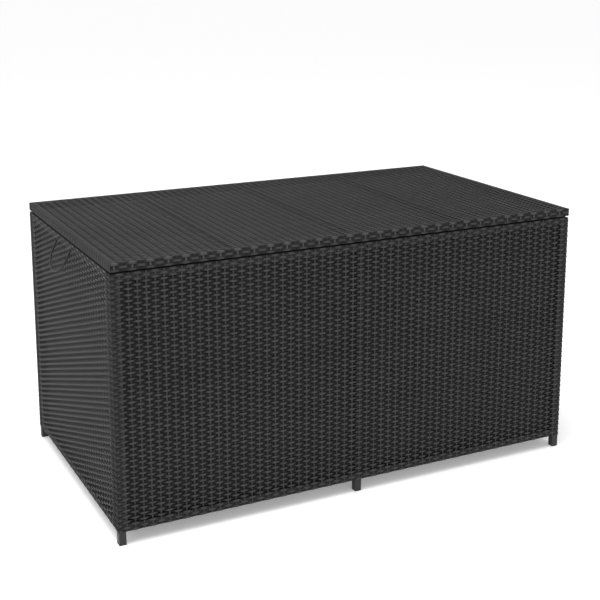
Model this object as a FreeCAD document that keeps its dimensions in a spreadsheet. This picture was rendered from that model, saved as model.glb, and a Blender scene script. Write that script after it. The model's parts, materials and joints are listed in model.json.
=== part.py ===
import FreeCAD, Part
import math
import os

import Sketcher
from FreeCAD import Placement, Rotation, Vector

# Deck storage box: a knock-down chest of steel tube panels covered in woven strand, with a hinged lid.
# X is the width, Y the depth with the back at +Y, Z the height. The origin is on the ground, mid plan.

doc = FreeCAD.newDocument("deck_storage_box")
sheet = doc.addObject("Spreadsheet::Sheet", "sizes")
pieces = []


class Size:
    """A length that carries both its number and its formula in the sheet."""

    def __init__(self, formula, number):
        self.formula = formula
        self.number = number

    def joined(self, sign, other, number):
        return Size(f"({self.formula} {sign} {formula_of(other)})", number)

    def __add__(self, other):
        return self.joined("+", other, self.number + number_of(other))

    def __sub__(self, other):
        return self.joined("-", other, self.number - number_of(other))

    def __mul__(self, other):
        return self.joined("*", other, self.number * number_of(other))

    def __truediv__(self, other):
        return self.joined("/", other, self.number / number_of(other))

    def __neg__(self):
        return self * -1

    __radd__ = __add__
    __rmul__ = __mul__


def number_of(length):
    return length.number if isinstance(length, Size) else length


def formula_of(length):
    return length.formula if isinstance(length, Size) else f"({length})"


def size(alias, number, meaning):
    """Write one driving dimension into the sheet and return it."""
    size.row += 1
    sheet.set(f"A{size.row}", meaning)
    sheet.set(f"B{size.row}", str(number))
    sheet.setAlias(f"B{size.row}", alias)
    return Size(f"sizes.{alias}", number)


size.row = 0

# ---------------------------------------------------------------- driving dimensions, in millimetres
width = size("width", 1470, "overall width of the woven box")
depth = size("depth", 830, "overall depth of the woven box")
height = size("height", 783, "overall height, ground to lid top")
foot_height = size("foot_height", 38, "ground to the lower edge of the woven panels")
lid_gap = size("lid_gap", 3, "open gap between box and lid")
tube = size("tube", 20, "side of the square steel tube")
tube_wall = size("tube_wall", 1.2, "wall of the steel tube")
wrap = size("wrap", 2, "thickness of the strand wrapped round a tube")
field = size("field", 4.5, "thickness of the woven field")
near = size("near", 0.3, "running clearance between pieces that do not press together")
liner = size("liner", 1.2, "thickness of the liner cloth")
liner_gap = size("liner_gap", 0.5, "gap between the liner and the frame behind it")
liner_drop = size("liner_drop", 6, "top of the box down to the hem of the liner")
cap_plate = size("cap_plate", 4, "sole of a foot cap")
cap_plug = size("cap_plug", 15, "plug of a foot cap inside the tube")
cap_bevel = size("cap_bevel", 1.5, "bevel under a foot cap")
cap_fit = size("cap_fit", 0.2, "gap between the plug and the tube")
bar_pitch = size("bar_pitch", 245, "spacing of the floor bars and of the press studs")
bar_tab = size("bar_tab", 2.5, "thickness of the tab at the end of a floor bar")
bar_end = size("bar_end", 1, "gap from the end of a floor bar to the sill")
bolt_radius = size("bolt_radius", 3, "panel bolt shank radius")
bolt_head = size("bolt_head", 6, "panel bolt head radius")
bolt_inset = size("bolt_inset", 82, "edge of a side panel to its end bolts")
nut_radius = size("nut_radius", 4.5, "rivet nut barrel radius")
nut_flange = size("nut_flange", 5.5, "rivet nut flange radius")
nut_length = size("nut_length", 12, "rivet nut barrel length")
screw_radius = size("screw_radius", 2.4, "shank radius of the bar and bracket screws")
screw_head = size("screw_head", 4.5, "head radius of the bar and bracket screws")
head_height = size("head_height", 2.5, "height of bolt and screw heads")
hinge_pitch = size("hinge_pitch", 500, "spacing of the three hinges")
leaf = size("leaf", 1.2, "hinge leaf thickness")
leaf_width = size("leaf_width", 60, "hinge leaf width")
barrel_radius = size("barrel_radius", 3.5, "hinge knuckle radius")
barrel_gap = size("barrel_gap", 1, "knuckle to the back of the box")
pin_radius = size("pin_radius", 2, "hinge pin radius")
pin_head = size("pin_head", 1, "thickness of a hinge pin's head")
leaf_screw = size("leaf_screw", 1.9, "hinge screw shank radius")
leaf_screw_head = size("leaf_screw_head", 3.8, "hinge screw head radius")
leaf_screw_length = size("leaf_screw_length", 12, "hinge screw length below its head")
lid_bar_pitch = size("lid_bar_pitch", 367.5, "spacing of the three bars of the lid")
bumper_radius = size("bumper_radius", 6, "radius of the rubber buttons that the lid rests on")
press_cap = size("press_cap", 6, "cap radius of a press stud on the liner")
press_tail = size("press_tail", 2, "tail radius of a press stud on the liner")
strut_reach = size("strut_reach", 200, "hinge axis forward to the strut's pivot on the lid")
strut_drop = size("strut_drop", 200, "hinge axis down to the strut's pivot on the box")
strut_below = size("strut_below", 17.5, "hinge axis down to the strut's pivot on the lid")
strut_radius = size("strut_radius", 9, "gas strut cylinder radius")
strut_wall = size("strut_wall", 1.5, "gas strut cylinder wall")
strut_rod = size("strut_rod", 4, "gas strut rod radius")
strut_body = size("strut_body", 200, "lower pivot to the mouth of the cylinder")
strut_collar = size("strut_collar", 18, "lower pivot to the foot of the cylinder")
eye_radius = size("eye_radius", 8, "radius of the eye at each end of a strut")
eye_width = size("eye_width", 10, "width of the eye at each end of a strut")
stud_radius = size("stud_radius", 4, "radius of the stud in a strut eye")
plate = size("plate", 3, "thickness of the strut brackets")
plate_width = size("plate_width", 30, "width of the strut brackets")
open_pivot_gap = size("open_pivot_gap", 0.4, "end of the upper stud to the lid bracket")
strut_offset = size("strut_offset", 11, "lid bracket face to the middle plane of the strut")
rope_radius = size("rope_radius", 2.5, "handle rope radius")
rope_spacing = size("rope_spacing", 140, "distance between the two holes of a handle")
rope_stand = size("rope_stand", 3, "side of the box out to the bend of the handle rope")
rope_hole_gap = size("rope_hole_gap", 0.5, "gap round the rope in its holes")
rope_squeeze = size("rope_squeeze", 0.1, "how much the rope's radius shrinks inside its holes")
rope_tilt = size("rope_tilt", 65, "droop of the handle loop below level, in degrees")
knot_radius = size("knot_radius", 7, "radius of the stopper knot inside the box")

# ---------------------------------------------------------------- planes that the pieces share
half_width = width / 2
half_depth = depth / 2
tube_out_x = half_width - wrap
tube_in_x = tube_out_x - tube
sleeve_in_x = tube_in_x - wrap
tube_out_y = half_depth - wrap
tube_in_y = tube_out_y - tube
sleeve_in_y = tube_in_y - wrap
stile_out_y = sleeve_in_y - wrap
stile_in_y = stile_out_y - tube
stile_sleeve_y = stile_in_y - wrap
stile_mid_y = (stile_out_y + stile_in_y) / 2
tube_mid_x = (tube_out_x + tube_in_x) / 2
tube_mid_y = (tube_out_y + tube_in_y) / 2
body_top = height - tube - wrap * 2 - lid_gap
rail_top = body_top - wrap
rail_under = rail_top - tube
rail_mid = (rail_top + rail_under) / 2
lid_under = body_top + lid_gap
lid_tube_under = lid_under + wrap
lid_tube_top = height - wrap
lid_mid = (lid_tube_under + lid_tube_top) / 2
sill_under = foot_height + wrap
sill_top = sill_under + tube
sill_sleeve = sill_top + wrap
mid_out_y = half_depth - field
mid_in_y = mid_out_y - tube
bar_top = sill_sleeve + bar_tab
liner_out_x = sleeve_in_x - liner_gap
liner_in_x = liner_out_x - liner
liner_out_y = mid_in_y - liner_gap
liner_in_y = liner_out_y - liner
liner_top = body_top - liner_drop
hinge_y = half_depth + barrel_gap + barrel_radius
hinge_z = body_top + lid_gap / 2
panel_bolt_heights = (
    foot_height + bolt_inset,
    (foot_height + body_top) / 2,
    body_top - bolt_inset,
)
bar_places = [bar_pitch * step for step in (-2.5, -1.5, -0.5, 0.5, 1.5, 2.5)]
hinge_places = [-hinge_pitch, hinge_pitch * 0, hinge_pitch]
SIDES = (("left", -1), ("right", 1))
ENDS = (("front", -1), ("back", 1))


# ---------------------------------------------------------------- ways to make shapes
def between(side, inner, outer):
    """The pair of faces at inner and outer on the positive side, or mirrored to the negative side."""
    return (inner, outer) if side > 0 else (-outer, -inner)


def about(middle, half):
    return (middle - half, middle + half)


def block(name, x, y, z):
    """A box between three pairs of faces."""
    box = doc.addObject("Part::Box", name)
    for edge, axis, (low, high) in (("Length", "x", x), ("Width", "y", y), ("Height", "z", z)):
        box.setExpression(edge, f"{formula_of(high)} - {formula_of(low)}")
        box.setExpression(f"Placement.Base.{axis}", formula_of(low))
    return box


TURNS = {
    "x": Rotation(Vector(0, 1, 0), 90),
    "y": Rotation(Vector(1, 0, 0), -90),
    "z": Rotation(),
}


def place(item, x, y, z, turn=Rotation()):
    """Put an object at a point given by formulas."""
    item.Placement = Placement(Vector(), turn)
    for axis, length in (("x", x), ("y", y), ("z", z)):
        item.setExpression(f"Placement.Base.{axis}", formula_of(length))
    return item


def rod(name, axis, span, across, radius):
    """A round bar along one axis, from span[0] to span[1], centred on the two other coordinates."""
    bar = doc.addObject("Part::Cylinder", name)
    bar.setExpression("Radius", formula_of(radius))
    bar.setExpression("Height", f"{formula_of(span[1])} - {formula_of(span[0])}")
    point = list(across)
    point.insert("xyz".index(axis), span[0])
    return place(bar, *point, turn=TURNS[axis])


def cone(name, low, high, x, y, radius_low, radius_high):
    """An upright cone between two heights."""
    shape = doc.addObject("Part::Cone", name)
    shape.setExpression("Radius1", formula_of(radius_low))
    shape.setExpression("Radius2", formula_of(radius_high))
    shape.setExpression("Height", f"{formula_of(high)} - {formula_of(low)}")
    return place(shape, x, y, low)


def fuse(name, parts):
    joined = doc.addObject("Part::MultiFuse", name)
    joined.Shapes = parts
    return joined


def cut(name, base, tools):
    """The base less every tool."""
    result = doc.addObject("Part::Cut", name)
    result.Base = base
    result.Tool = tools[0] if len(tools) == 1 else fuse(f"{name}_tools", tools)
    return result


def group(name, members):
    """Identical fasteners kept as separate solids in one node."""
    bundle = doc.addObject("Part::Compound", name)
    bundle.Links = members
    return piece(name, bundle)


def piece(name, item):
    """Register a finished sub-part under the name of its file."""
    item.Label = name
    pieces.append(item)
    return item


def body_named(name):
    item = doc.addObject("PartDesign::Body", name)
    item.Label = name
    return item


def sketch_on(body, role, name, offset=0):
    """A sketch on one origin plane of its own body, lifted along the plane's normal."""
    plane = next(item for item in body.Origin.OriginFeatures if item.Role == role)
    sketch = body.newObject("Sketcher::SketchObject", name)
    sketch.AttachmentSupport = [(plane, "")]
    sketch.MapMode = "FlatFace"
    sketch.setExpression("AttachmentOffset.Base.z", formula_of(offset))
    return sketch


def hold(sketch, kind, corner, length):
    """Hold one corner of a sketch at a distance from its origin."""
    number = number_of(length)
    if abs(number) < 1e-9:
        axis = -2 if kind == "DistanceX" else -1
        sketch.addConstraint(Sketcher.Constraint("PointOnObject", corner, 1, axis))
        return
    index = sketch.addConstraint(Sketcher.Constraint(kind, -1, 1, corner, 1, number))
    sketch.setExpression(f"Constraints[{index}]", formula_of(length))


def outline(sketch, corners):
    """A closed outline of straight edges through corners given as pairs of lengths."""
    points = [Vector(number_of(across), number_of(up), 0) for across, up in corners]
    count = len(points)
    for index, point in enumerate(points):
        sketch.addGeometry(Part.LineSegment(point, points[(index + 1) % count]))
    for index in range(count):
        sketch.addConstraint(Sketcher.Constraint("Coincident", index, 2, (index + 1) % count, 1))
    for index, (across, up) in enumerate(corners):
        hold(sketch, "DistanceX", index, across)
        hold(sketch, "DistanceY", index, up)


def ring(sketch, radius, across=0, up=0):
    """A circle held by its radius and centre."""
    centre = Vector(number_of(across), number_of(up), 0)
    index = sketch.addGeometry(Part.Circle(centre, Vector(0, 0, 1), number_of(radius)))
    constraint = sketch.addConstraint(Sketcher.Constraint("Radius", index, number_of(radius)))
    sketch.setExpression(f"Constraints[{constraint}]", formula_of(radius))
    for kind, axis, length in (("DistanceX", -2, across), ("DistanceY", -1, up)):
        if abs(number_of(length)) < 1e-9:
            sketch.addConstraint(Sketcher.Constraint("PointOnObject", index, 3, axis))
        else:
            held = sketch.addConstraint(Sketcher.Constraint(kind, -1, 1, index, 3, number_of(length)))
            sketch.setExpression(f"Constraints[{held}]", formula_of(length))


def square(sketch, side):
    """A square centred on the sketch's origin."""
    half = side / 2
    outline(sketch, [(-half, -half), (half, -half), (half, half), (-half, half)])


def pad(body, sketch, length, name):
    feature = body.newObject("PartDesign::Pad", name)
    feature.Profile = sketch
    feature.setExpression("Length", formula_of(length))
    sketch.Visibility = False
    return feature


def pocket(body, sketch, length, name, backwards=False):
    feature = body.newObject("PartDesign::Pocket", name)
    feature.Profile = sketch
    feature.Reversed = backwards
    feature.setExpression("Length", formula_of(length))
    return feature


def turned(body, sketch, name):
    """A full turn of the sketch about its own upright axis."""
    feature = body.newObject("PartDesign::Revolution", name)
    feature.Profile = sketch
    feature.ReferenceAxis = (sketch, ["V_Axis"])
    feature.Angle = 360
    return feature


# ---------------------------------------------------------------- tube frames
def long_frame_outline(end, side):
    """Three posts and two rails of the front or back panel, before they are hollowed."""
    y = between(side, tube_in_y, tube_out_y)
    parts = [block(f"{end}_top_rail", (-tube_in_x, tube_in_x), y, (rail_under, rail_top))]
    parts.append(block(f"{end}_sill", (-tube_in_x, tube_in_x), y, (sill_under, sill_top)))
    for hand, sign in SIDES:
        x = between(sign, tube_in_x, tube_out_x)
        parts.append(block(f"{end}_{hand}_post", x, y, (cap_plate, rail_top)))
    mid_y = between(side, mid_in_y, mid_out_y)
    parts.append(block(f"{end}_mid_post", about(tube * 0, tube / 2), mid_y, (cap_plate, rail_under)))
    return fuse(f"{end}_outline", parts)


def long_frame_cavity(end, side):
    """The joined inside of those tubes, open at the three feet."""
    y = between(side, tube_in_y + tube_wall, tube_out_y - tube_wall)
    x = (-(tube_out_x - tube_wall), tube_out_x - tube_wall)
    parts = [block(f"{end}_rail_bore", x, y, (rail_under + tube_wall, rail_top - tube_wall))]
    parts.append(block(f"{end}_sill_bore", x, y, (sill_under + tube_wall, sill_top - tube_wall)))
    for hand, sign in SIDES:
        post_x = between(sign, tube_in_x + tube_wall, tube_out_x - tube_wall)
        parts.append(block(f"{end}_{hand}_bore", post_x, y, (cap_plate, rail_top - tube_wall)))
    mid_x = about(tube * 0, tube / 2 - tube_wall)
    mid_y = between(side, mid_in_y + tube_wall, mid_out_y - tube_wall)
    parts.append(block(f"{end}_mid_bore", mid_x, mid_y, (cap_plate, rail_under + tube_wall)))
    return parts


def bar_screw_holes(end, side):
    """Upright holes in the sill for the screws of the floor bars."""
    y = tube_mid_y * side
    return [
        rod(f"{end}_bar_hole_{index}", "z", (sill_top - tube_wall * 2, bar_top), (x, y), screw_radius + near)
        for index, x in enumerate(bar_places)
    ]


def post_nut_holes(end, side):
    """Holes in the inner wall of the corner posts for the rivet nuts and their flanges."""
    holes = []
    for hand, sign in SIDES:
        for index, z in enumerate(panel_bolt_heights):
            across = (tube_mid_x * sign, z)
            barrel = between(side, sleeve_in_y - wrap, tube_in_y + tube_wall * 2)
            flange = between(side, sleeve_in_y - wrap, tube_in_y)
            holes.append(rod(f"{end}_{hand}_nut_hole_{index}", "y", barrel, across, nut_radius + near))
            holes.append(rod(f"{end}_{hand}_flange_hole_{index}", "y", flange, across, nut_flange + near))
    return holes


def hinge_screw_places():
    """The plan position of each hinge screw."""
    reach = leaf_width / 3
    return [(x + reach * way, tube_mid_y) for x in hinge_places for way in (-1, 1)]


def hinge_screw_holes(name, z):
    return [
        rod(f"{name}_{index}", "z", z, place_xy, leaf_screw + near)
        for index, place_xy in enumerate(hinge_screw_places())
    ]


def long_panel(end, side):
    """Front or back panel: tube frame, wrapped strand round its tubes, woven field on its face."""
    solid_frame = long_frame_outline(end, side)
    holes = bar_screw_holes(end, side) + post_nut_holes(end, side)
    if side > 0:
        holes += hinge_screw_holes("back_hinge_hole", (rail_top - tube_wall * 2, body_top + wrap))
    piece(f"{end}_frame", cut(f"{end}_frame", solid_frame, long_frame_cavity(end, side) + holes))

    x = (-half_width, half_width)
    z = (foot_height, body_top)
    sheet_of_weave = block(f"{end}_field", x, between(side, mid_out_y, half_depth), z)
    piece(f"{end}_weave", cut(f"{end}_weave", sheet_of_weave, [solid_frame]))

    rim = block(f"{end}_rim", x, between(side, sleeve_in_y, tube_out_y), z)
    window_x = (-sleeve_in_x, sleeve_in_x)
    window_y = between(side, sleeve_in_y - wrap, tube_out_y + wrap)
    window = block(f"{end}_window", window_x, window_y, (sill_sleeve, rail_under - wrap))
    tools = [window, solid_frame, sheet_of_weave] + holes
    piece(f"{end}_wrap", cut(f"{end}_wrap", rim, tools))


def side_frame_outline(hand, sign):
    """Two stiles and two rails of a side panel, before they are hollowed."""
    x = between(sign, tube_in_x, tube_out_x)
    y = (-stile_in_y, stile_in_y)
    parts = [block(f"{hand}_top_rail", x, y, (rail_under, rail_top))]
    parts.append(block(f"{hand}_sill", x, y, (sill_under, sill_top)))
    for end, side in ENDS:
        stile = between(side, stile_in_y, stile_out_y)
        parts.append(block(f"{hand}_{end}_stile", x, stile, (sill_under, rail_top)))
    return fuse(f"{hand}_outline", parts)


def side_frame_cavity(hand, sign):
    """The joined inside of those tubes, open only at the bolt and rope holes."""
    x = between(sign, tube_in_x + tube_wall, tube_out_x - tube_wall)
    y = (-(stile_out_y - tube_wall), stile_out_y - tube_wall)
    parts = [block(f"{hand}_rail_bore", x, y, (rail_under + tube_wall, rail_top - tube_wall))]
    parts.append(block(f"{hand}_sill_bore", x, y, (sill_under + tube_wall, sill_top - tube_wall)))
    for end, side in ENDS:
        stile = between(side, stile_in_y + tube_wall, stile_out_y - tube_wall)
        tall = (sill_under + tube_wall, rail_top - tube_wall)
        parts.append(block(f"{hand}_{end}_stile_bore", x, stile, tall))
    return parts


def side_bolt_holes(hand, sign):
    """Holes right through the stiles and their wrapping for the panel bolts."""
    holes = []
    for end, side in ENDS:
        for index, z in enumerate(panel_bolt_heights):
            span = between(side, stile_sleeve_y - wrap, sleeve_in_y + near)
            across = (tube_mid_x * sign, z)
            holes.append(rod(f"{hand}_{end}_bolt_hole_{index}", "y", span, across, bolt_radius + near))
    return holes


def rope_holes(hand, sign):
    """Level holes for the two ends of the handle rope."""
    span = between(sign, liner_in_x - wrap, half_width + wrap)
    radius = rope_radius + rope_hole_gap
    return [
        rod(f"{hand}_rope_hole_{index}", "x", span, (rope_spacing / 2 * way, rail_mid), radius)
        for index, way in enumerate((-1, 1))
    ]


def bracket_screw_heights():
    middle = hinge_z - strut_drop
    return [middle - plate_width * 2 / 3, middle + plate_width * 2 / 3]


def bracket_screw_holes(hand, sign):
    """Holes for the screws of the strut's lower bracket, in the inner wall of the back stile."""
    span = between(sign, liner_in_x - plate * 2, tube_in_x + tube_wall * 2)
    return [
        rod(f"{hand}_bracket_hole_{index}", "x", span, (stile_mid_y, z), screw_radius + near)
        for index, z in enumerate(bracket_screw_heights())
    ]


def side_panel(hand, sign):
    """Left or right panel, which fits between the corner posts."""
    solid_frame = side_frame_outline(hand, sign)
    through = rope_holes(hand, sign)
    holes = through + side_bolt_holes(hand, sign) + bracket_screw_holes(hand, sign)
    piece(f"{hand}_frame", cut(f"{hand}_frame", solid_frame, side_frame_cavity(hand, sign) + holes))

    y = (-sleeve_in_y, sleeve_in_y)
    z = (foot_height, body_top)
    sheet_of_weave = block(f"{hand}_field", between(sign, half_width - field, half_width), y, z)
    piece(f"{hand}_weave", cut(f"{hand}_weave", sheet_of_weave, [solid_frame] + through))

    rim = block(f"{hand}_rim", between(sign, sleeve_in_x, tube_out_x), y, z)
    window_x = between(sign, sleeve_in_x - wrap, tube_out_x + wrap)
    window_y = (-stile_sleeve_y, stile_sleeve_y)
    window = block(f"{hand}_window", window_x, window_y, (sill_sleeve, rail_under - wrap))
    tools = [window, solid_frame, sheet_of_weave] + holes
    piece(f"{hand}_wrap", cut(f"{hand}_wrap", rim, tools))


# ---------------------------------------------------------------- lid
def lid_edge_tubes():
    """Front and back tubes of the lid, closed at their ends, with the hinge screw holes."""
    far_x = tube_out_x - tube_wall
    holes = hinge_screw_holes("lid_hinge_hole", (lid_under - wrap, lid_tube_under + tube_wall * 2))
    shells = []
    tubes = []
    for end, side in ENDS:
        y = between(side, tube_in_y, tube_out_y)
        shell = block(f"lid_{end}_tube", (-tube_out_x, tube_out_x), y, (lid_tube_under, lid_tube_top))
        inside_y = between(side, tube_in_y + tube_wall, tube_out_y - tube_wall)
        inside_z = (lid_tube_under + tube_wall, lid_tube_top - tube_wall)
        bore = block(f"lid_{end}_bore", (-far_x, far_x), inside_y, inside_z)
        shells.append(shell)
        tubes.append(cut(f"lid_{end}_shell", shell, [bore] + holes))
    group("lid_frame", tubes)
    return shells, holes


def lid_cross_tubes():
    """Side tubes and three shallower bars of the lid, welded between its front and back tubes."""
    holes = lid_bracket_screw_holes()
    spans = [(hand, between(sign, tube_in_x, tube_out_x), lid_tube_top) for hand, sign in SIDES]
    for index, way in enumerate((-1, 0, 1)):
        spans.append((f"bar_{index}", about(lid_bar_pitch * way, tube / 2), height - field))
    shells = []
    tubes = []
    for name, x, top in spans:
        shell = block(f"lid_{name}_tube", x, (-tube_in_y, tube_in_y), (lid_tube_under, top))
        inside_x = (x[0] + tube_wall, x[1] - tube_wall)
        inside_z = (lid_tube_under + tube_wall, top - tube_wall)
        bore = block(f"lid_{name}_bore", inside_x, (-tube_mid_y, tube_mid_y), inside_z)
        shells.append(shell)
        tubes.append(cut(f"lid_{name}_shell", shell, [bore] + holes))
    group("lid_cross_tubes", tubes)
    return shells, holes


def lid_bracket_screw_holes():
    """Level holes for the screws of the strut brackets in the side tubes of the lid."""
    return [
        rod(f"lid_{hand}_bracket_hole_{index}", "x",
            between(sign, sleeve_in_x - wrap, tube_in_x + tube_wall * 2), (y, lid_mid), screw_radius + near)
        for hand, sign in SIDES
        for index, y in enumerate(lid_bracket_screw_places())
    ]


def lid_bracket_screw_places():
    return [hinge_y - strut_reach - plate_width / 4, hinge_y - strut_reach + plate_width / 4]


def lid_panel():
    """Lid: tube frame, wrapped strand round the rim, woven top and a cloth lining underneath."""
    edge_shells, hinge_holes = lid_edge_tubes()
    cross_shells, bracket_holes = lid_cross_tubes()
    shells = edge_shells + cross_shells

    x = (-half_width, half_width)
    y = (-half_depth, half_depth)
    top = block("lid_field", x, y, (height - field, height))
    piece("lid_weave", cut("lid_weave", top, shells))

    rim = block("lid_rim", x, y, (lid_under, lid_tube_top))
    window_z = (lid_under - wrap, lid_tube_top + wrap)
    window = block("lid_window", (-sleeve_in_x, sleeve_in_x), (-sleeve_in_y, sleeve_in_y), window_z)
    piece("lid_wrap", cut("lid_wrap", rim, [window, top] + shells + hinge_holes + bracket_holes))

    edge_x = (-(sleeve_in_x - liner_gap), sleeve_in_x - liner_gap)
    edge_y = (-(sleeve_in_y - liner_gap), sleeve_in_y - liner_gap)
    cloth = block("lid_cloth", edge_x, edge_y, (lid_tube_under - liner, lid_tube_under))
    notches = []
    for hand, sign in SIDES:
        notch_x = between(sign, strut_plane + strut_offset - near * 2, half_width)
        notch_y = about(hinge_y - strut_reach, plate_width / 2 + near * 2)
        notches.append(block(f"lid_{hand}_notch", notch_x, notch_y, (lid_under - wrap, lid_mid)))
    piece("lid_liner", cut("lid_liner", cloth, notches))


# ---------------------------------------------------------------- floor and feet
def floor_bars():
    """Six tube bars under the liner, each with a flat tab screwed on both sills."""
    bars = []
    reach = sleeve_in_y - bar_end
    for index, x in enumerate(bar_places):
        shell = block(f"bar_shell_{index}", about(x, tube / 2), (-reach, reach), (bar_top - tube, bar_top))
        bore_z = (bar_top - tube + tube_wall, bar_top - tube_wall)
        bore_x = about(x, tube / 2 - tube_wall)
        bore = block(f"bar_bore_{index}", bore_x, (-reach - wrap, reach + wrap), bore_z)
        tabs = []
        holes = []
        for end, side in ENDS:
            y = between(side, reach - tube, mid_out_y - wrap)
            tabs.append(block(f"bar_{end}_tab_{index}", about(x, tube / 2), y, (sill_sleeve, bar_top)))
            across = (x, tube_mid_y * side)
            span = (sill_sleeve - wrap, bar_top + wrap)
            holes.append(rod(f"bar_{end}_tab_hole_{index}", "z", span, across, screw_radius + near))
        tube_part = cut(f"bar_tube_{index}", shell, [bore])
        bars.append(cut(f"floor_bar_{index}", fuse(f"bar_whole_{index}", [tube_part] + tabs), holes))
    group("floor_bars", bars)


def bar_screws():
    """Screws that hold the floor bars on the sills."""
    screws = []
    for index, x in enumerate(bar_places):
        for end, side in ENDS:
            across = (x, tube_mid_y * side)
            shank_z = (sill_under + tube / 2, bar_top)
            shank = rod(f"bar_{end}_shank_{index}", "z", shank_z, across, screw_radius)
            head = rod(f"bar_{end}_head_{index}", "z", (bar_top, bar_top + head_height), across, screw_head)
            screws.append(fuse(f"bar_{end}_screw_{index}", [shank, head]))
    group("floor_bar_screws", screws)


def foot_cap(name, x, y):
    """Plastic sole with a plug that fits inside the end of a post."""
    body = body_named(name)
    sole = sketch_on(body, "XY_Plane", f"{name}_sole")
    square(sole, tube)
    base = pad(body, sole, cap_plate, f"{name}_sole_pad")
    doc.recompute()
    bottom = [
        f"Edge{index + 1}"
        for index, edge in enumerate(base.Shape.Edges)
        if edge.BoundBox.ZMax < 1e-6
    ]
    bevel = body.newObject("PartDesign::Chamfer", f"{name}_bevel")
    bevel.Base = (base, bottom)
    bevel.setExpression("Size", formula_of(cap_bevel))
    plug = sketch_on(body, "XY_Plane", f"{name}_plug", cap_plate)
    square(plug, tube - tube_wall * 2 - cap_fit * 2)
    pad(body, plug, cap_plug, f"{name}_plug_pad")
    place(body, x, y, tube * 0)
    piece(name, body)


def feet():
    for end, side in ENDS:
        for hand, sign in SIDES:
            foot_cap(f"foot_cap_{end}_{hand}", tube_mid_x * sign, tube_mid_y * side)
        foot_cap(f"foot_cap_{end}_mid", tube * 0, (mid_in_y + mid_out_y) / 2 * side)


# ---------------------------------------------------------------- fasteners of the panels
def panel_bolts():
    """Bolts from inside each stile into a rivet nut in the post beside it."""
    bolts = []
    nuts = []
    for hand, sign in SIDES:
        for end, side in ENDS:
            for index, z in enumerate(panel_bolt_heights):
                name = f"{hand}_{end}_{index}"
                across = (tube_mid_x * sign, z)
                head_y = between(side, stile_sleeve_y - head_height, stile_sleeve_y)
                shank_y = between(side, stile_sleeve_y, tube_in_y + nut_length)
                flange_y = between(side, tube_in_y - wrap / 2, tube_in_y)
                barrel_y = between(side, tube_in_y, tube_in_y + nut_length)
                bore_y = between(side, tube_in_y - wrap, tube_in_y + nut_length + wrap)
                head = rod(f"bolt_head_{name}", "y", head_y, across, bolt_head)
                shank = rod(f"bolt_shank_{name}", "y", shank_y, across, bolt_radius)
                bolts.append(fuse(f"bolt_{name}", [head, shank]))
                flange = rod(f"nut_flange_{name}", "y", flange_y, across, nut_flange)
                barrel = rod(f"nut_barrel_{name}", "y", barrel_y, across, nut_radius)
                bore = rod(f"nut_bore_{name}", "y", bore_y, across, bolt_radius + near / 3)
                nuts.append(cut(f"nut_{name}", fuse(f"nut_solid_{name}", [flange, barrel]), [bore]))
    group("panel_bolts", bolts)
    group("rivet_nuts", nuts)


def bumpers():
    """Rubber buttons on top of the box, a hair below the closed lid."""
    places = [(tube_mid_x * sign, -tube_mid_y) for _, sign in SIDES]
    places += [(tube_mid_x * sign, tube * 0) for _, sign in SIDES]
    places.append((tube * 0, -tube_mid_y))
    buttons = [
        rod(f"bumper_{index}", "z", (body_top, lid_under - near), spot, bumper_radius)
        for index, spot in enumerate(places)
    ]
    group("lid_bumpers", buttons)


# ---------------------------------------------------------------- liner
def liner_walls():
    """Cloth bag inside the box: four walls and a floor, sewn at their edges."""
    z = (bar_top, liner_top)
    for end, side in ENDS:
        y = between(side, liner_in_y, liner_out_y)
        wall = block(f"liner_{end}_cloth", (-liner_out_x, liner_out_x), y, z)
        piece(f"liner_{end}", cut(f"liner_{end}", wall, liner_stud_holes(end)))
    for hand, sign in SIDES:
        x = between(sign, liner_in_x, liner_out_x)
        y = (-(liner_in_y - near), liner_in_y - near)
        wall = block(f"liner_{hand}_cloth", x, y, z)
        holes = [rod(f"liner_{hand}_rope_hole_{index}", "x",
                     between(sign, liner_in_x - wrap, liner_out_x + wrap),
                     (rope_spacing / 2 * way, rail_mid), rope_radius + rope_hole_gap)
                 for index, way in enumerate((-1, 1))]
        holes += [rod(f"liner_{hand}_bracket_hole_{index}", "x",
                      between(sign, liner_in_x - wrap, liner_out_x + wrap),
                      (stile_mid_y, z_hole), screw_radius + near)
                  for index, z_hole in enumerate(bracket_screw_heights())]
        piece(f"liner_{hand}", cut(f"liner_{hand}", wall, holes + liner_stud_holes(hand)))
    floor_x = (-(liner_in_x - near), liner_in_x - near)
    floor_y = (-(liner_in_y - near), liner_in_y - near)
    piece("liner_floor", block("liner_floor", floor_x, floor_y, (bar_top, bar_top + liner)))


def stud_spots(wall):
    """Where the press studs sit along one wall of the liner."""
    if wall in ("front", "back"):
        return [bar_pitch * step for step in (-2, -1, 0, 1, 2)]
    return [bar_pitch * step for step in (-1.3, -0.6, 0.6, 1.3)]


def liner_stud_rod(name, wall, spot, inner, outer, radius):
    """A round piece across one wall of the liner, between two depths from its inner face."""
    if wall in ("front", "back"):
        side = dict(ENDS)[wall]
        return rod(name, "y", between(side, liner_in_y + inner, liner_in_y + outer), (spot, rail_mid), radius)
    sign = dict(SIDES)[wall]
    return rod(name, "x", between(sign, liner_in_x + inner, liner_in_x + outer), (spot, rail_mid), radius)


def liner_stud_holes(wall):
    return [
        liner_stud_rod(f"liner_{wall}_stud_hole_{index}", wall, spot, -wrap, liner + wrap, press_tail + near)
        for index, spot in enumerate(stud_spots(wall))
    ]


def liner_studs():
    """Press studs that hold the hem of the liner against the top rails."""
    studs = []
    for wall in ("front", "back", "left", "right"):
        for index, spot in enumerate(stud_spots(wall)):
            name = f"stud_{wall}_{index}"
            cap = liner_stud_rod(f"{name}_cap", wall, spot, -wrap, liner * 0, press_cap)
            tail = liner_stud_rod(f"{name}_tail", wall, spot, liner * 0, liner + liner_gap, press_tail)
            studs.append(fuse(name, [cap, tail]))
    group("liner_press_studs", studs)


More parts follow.
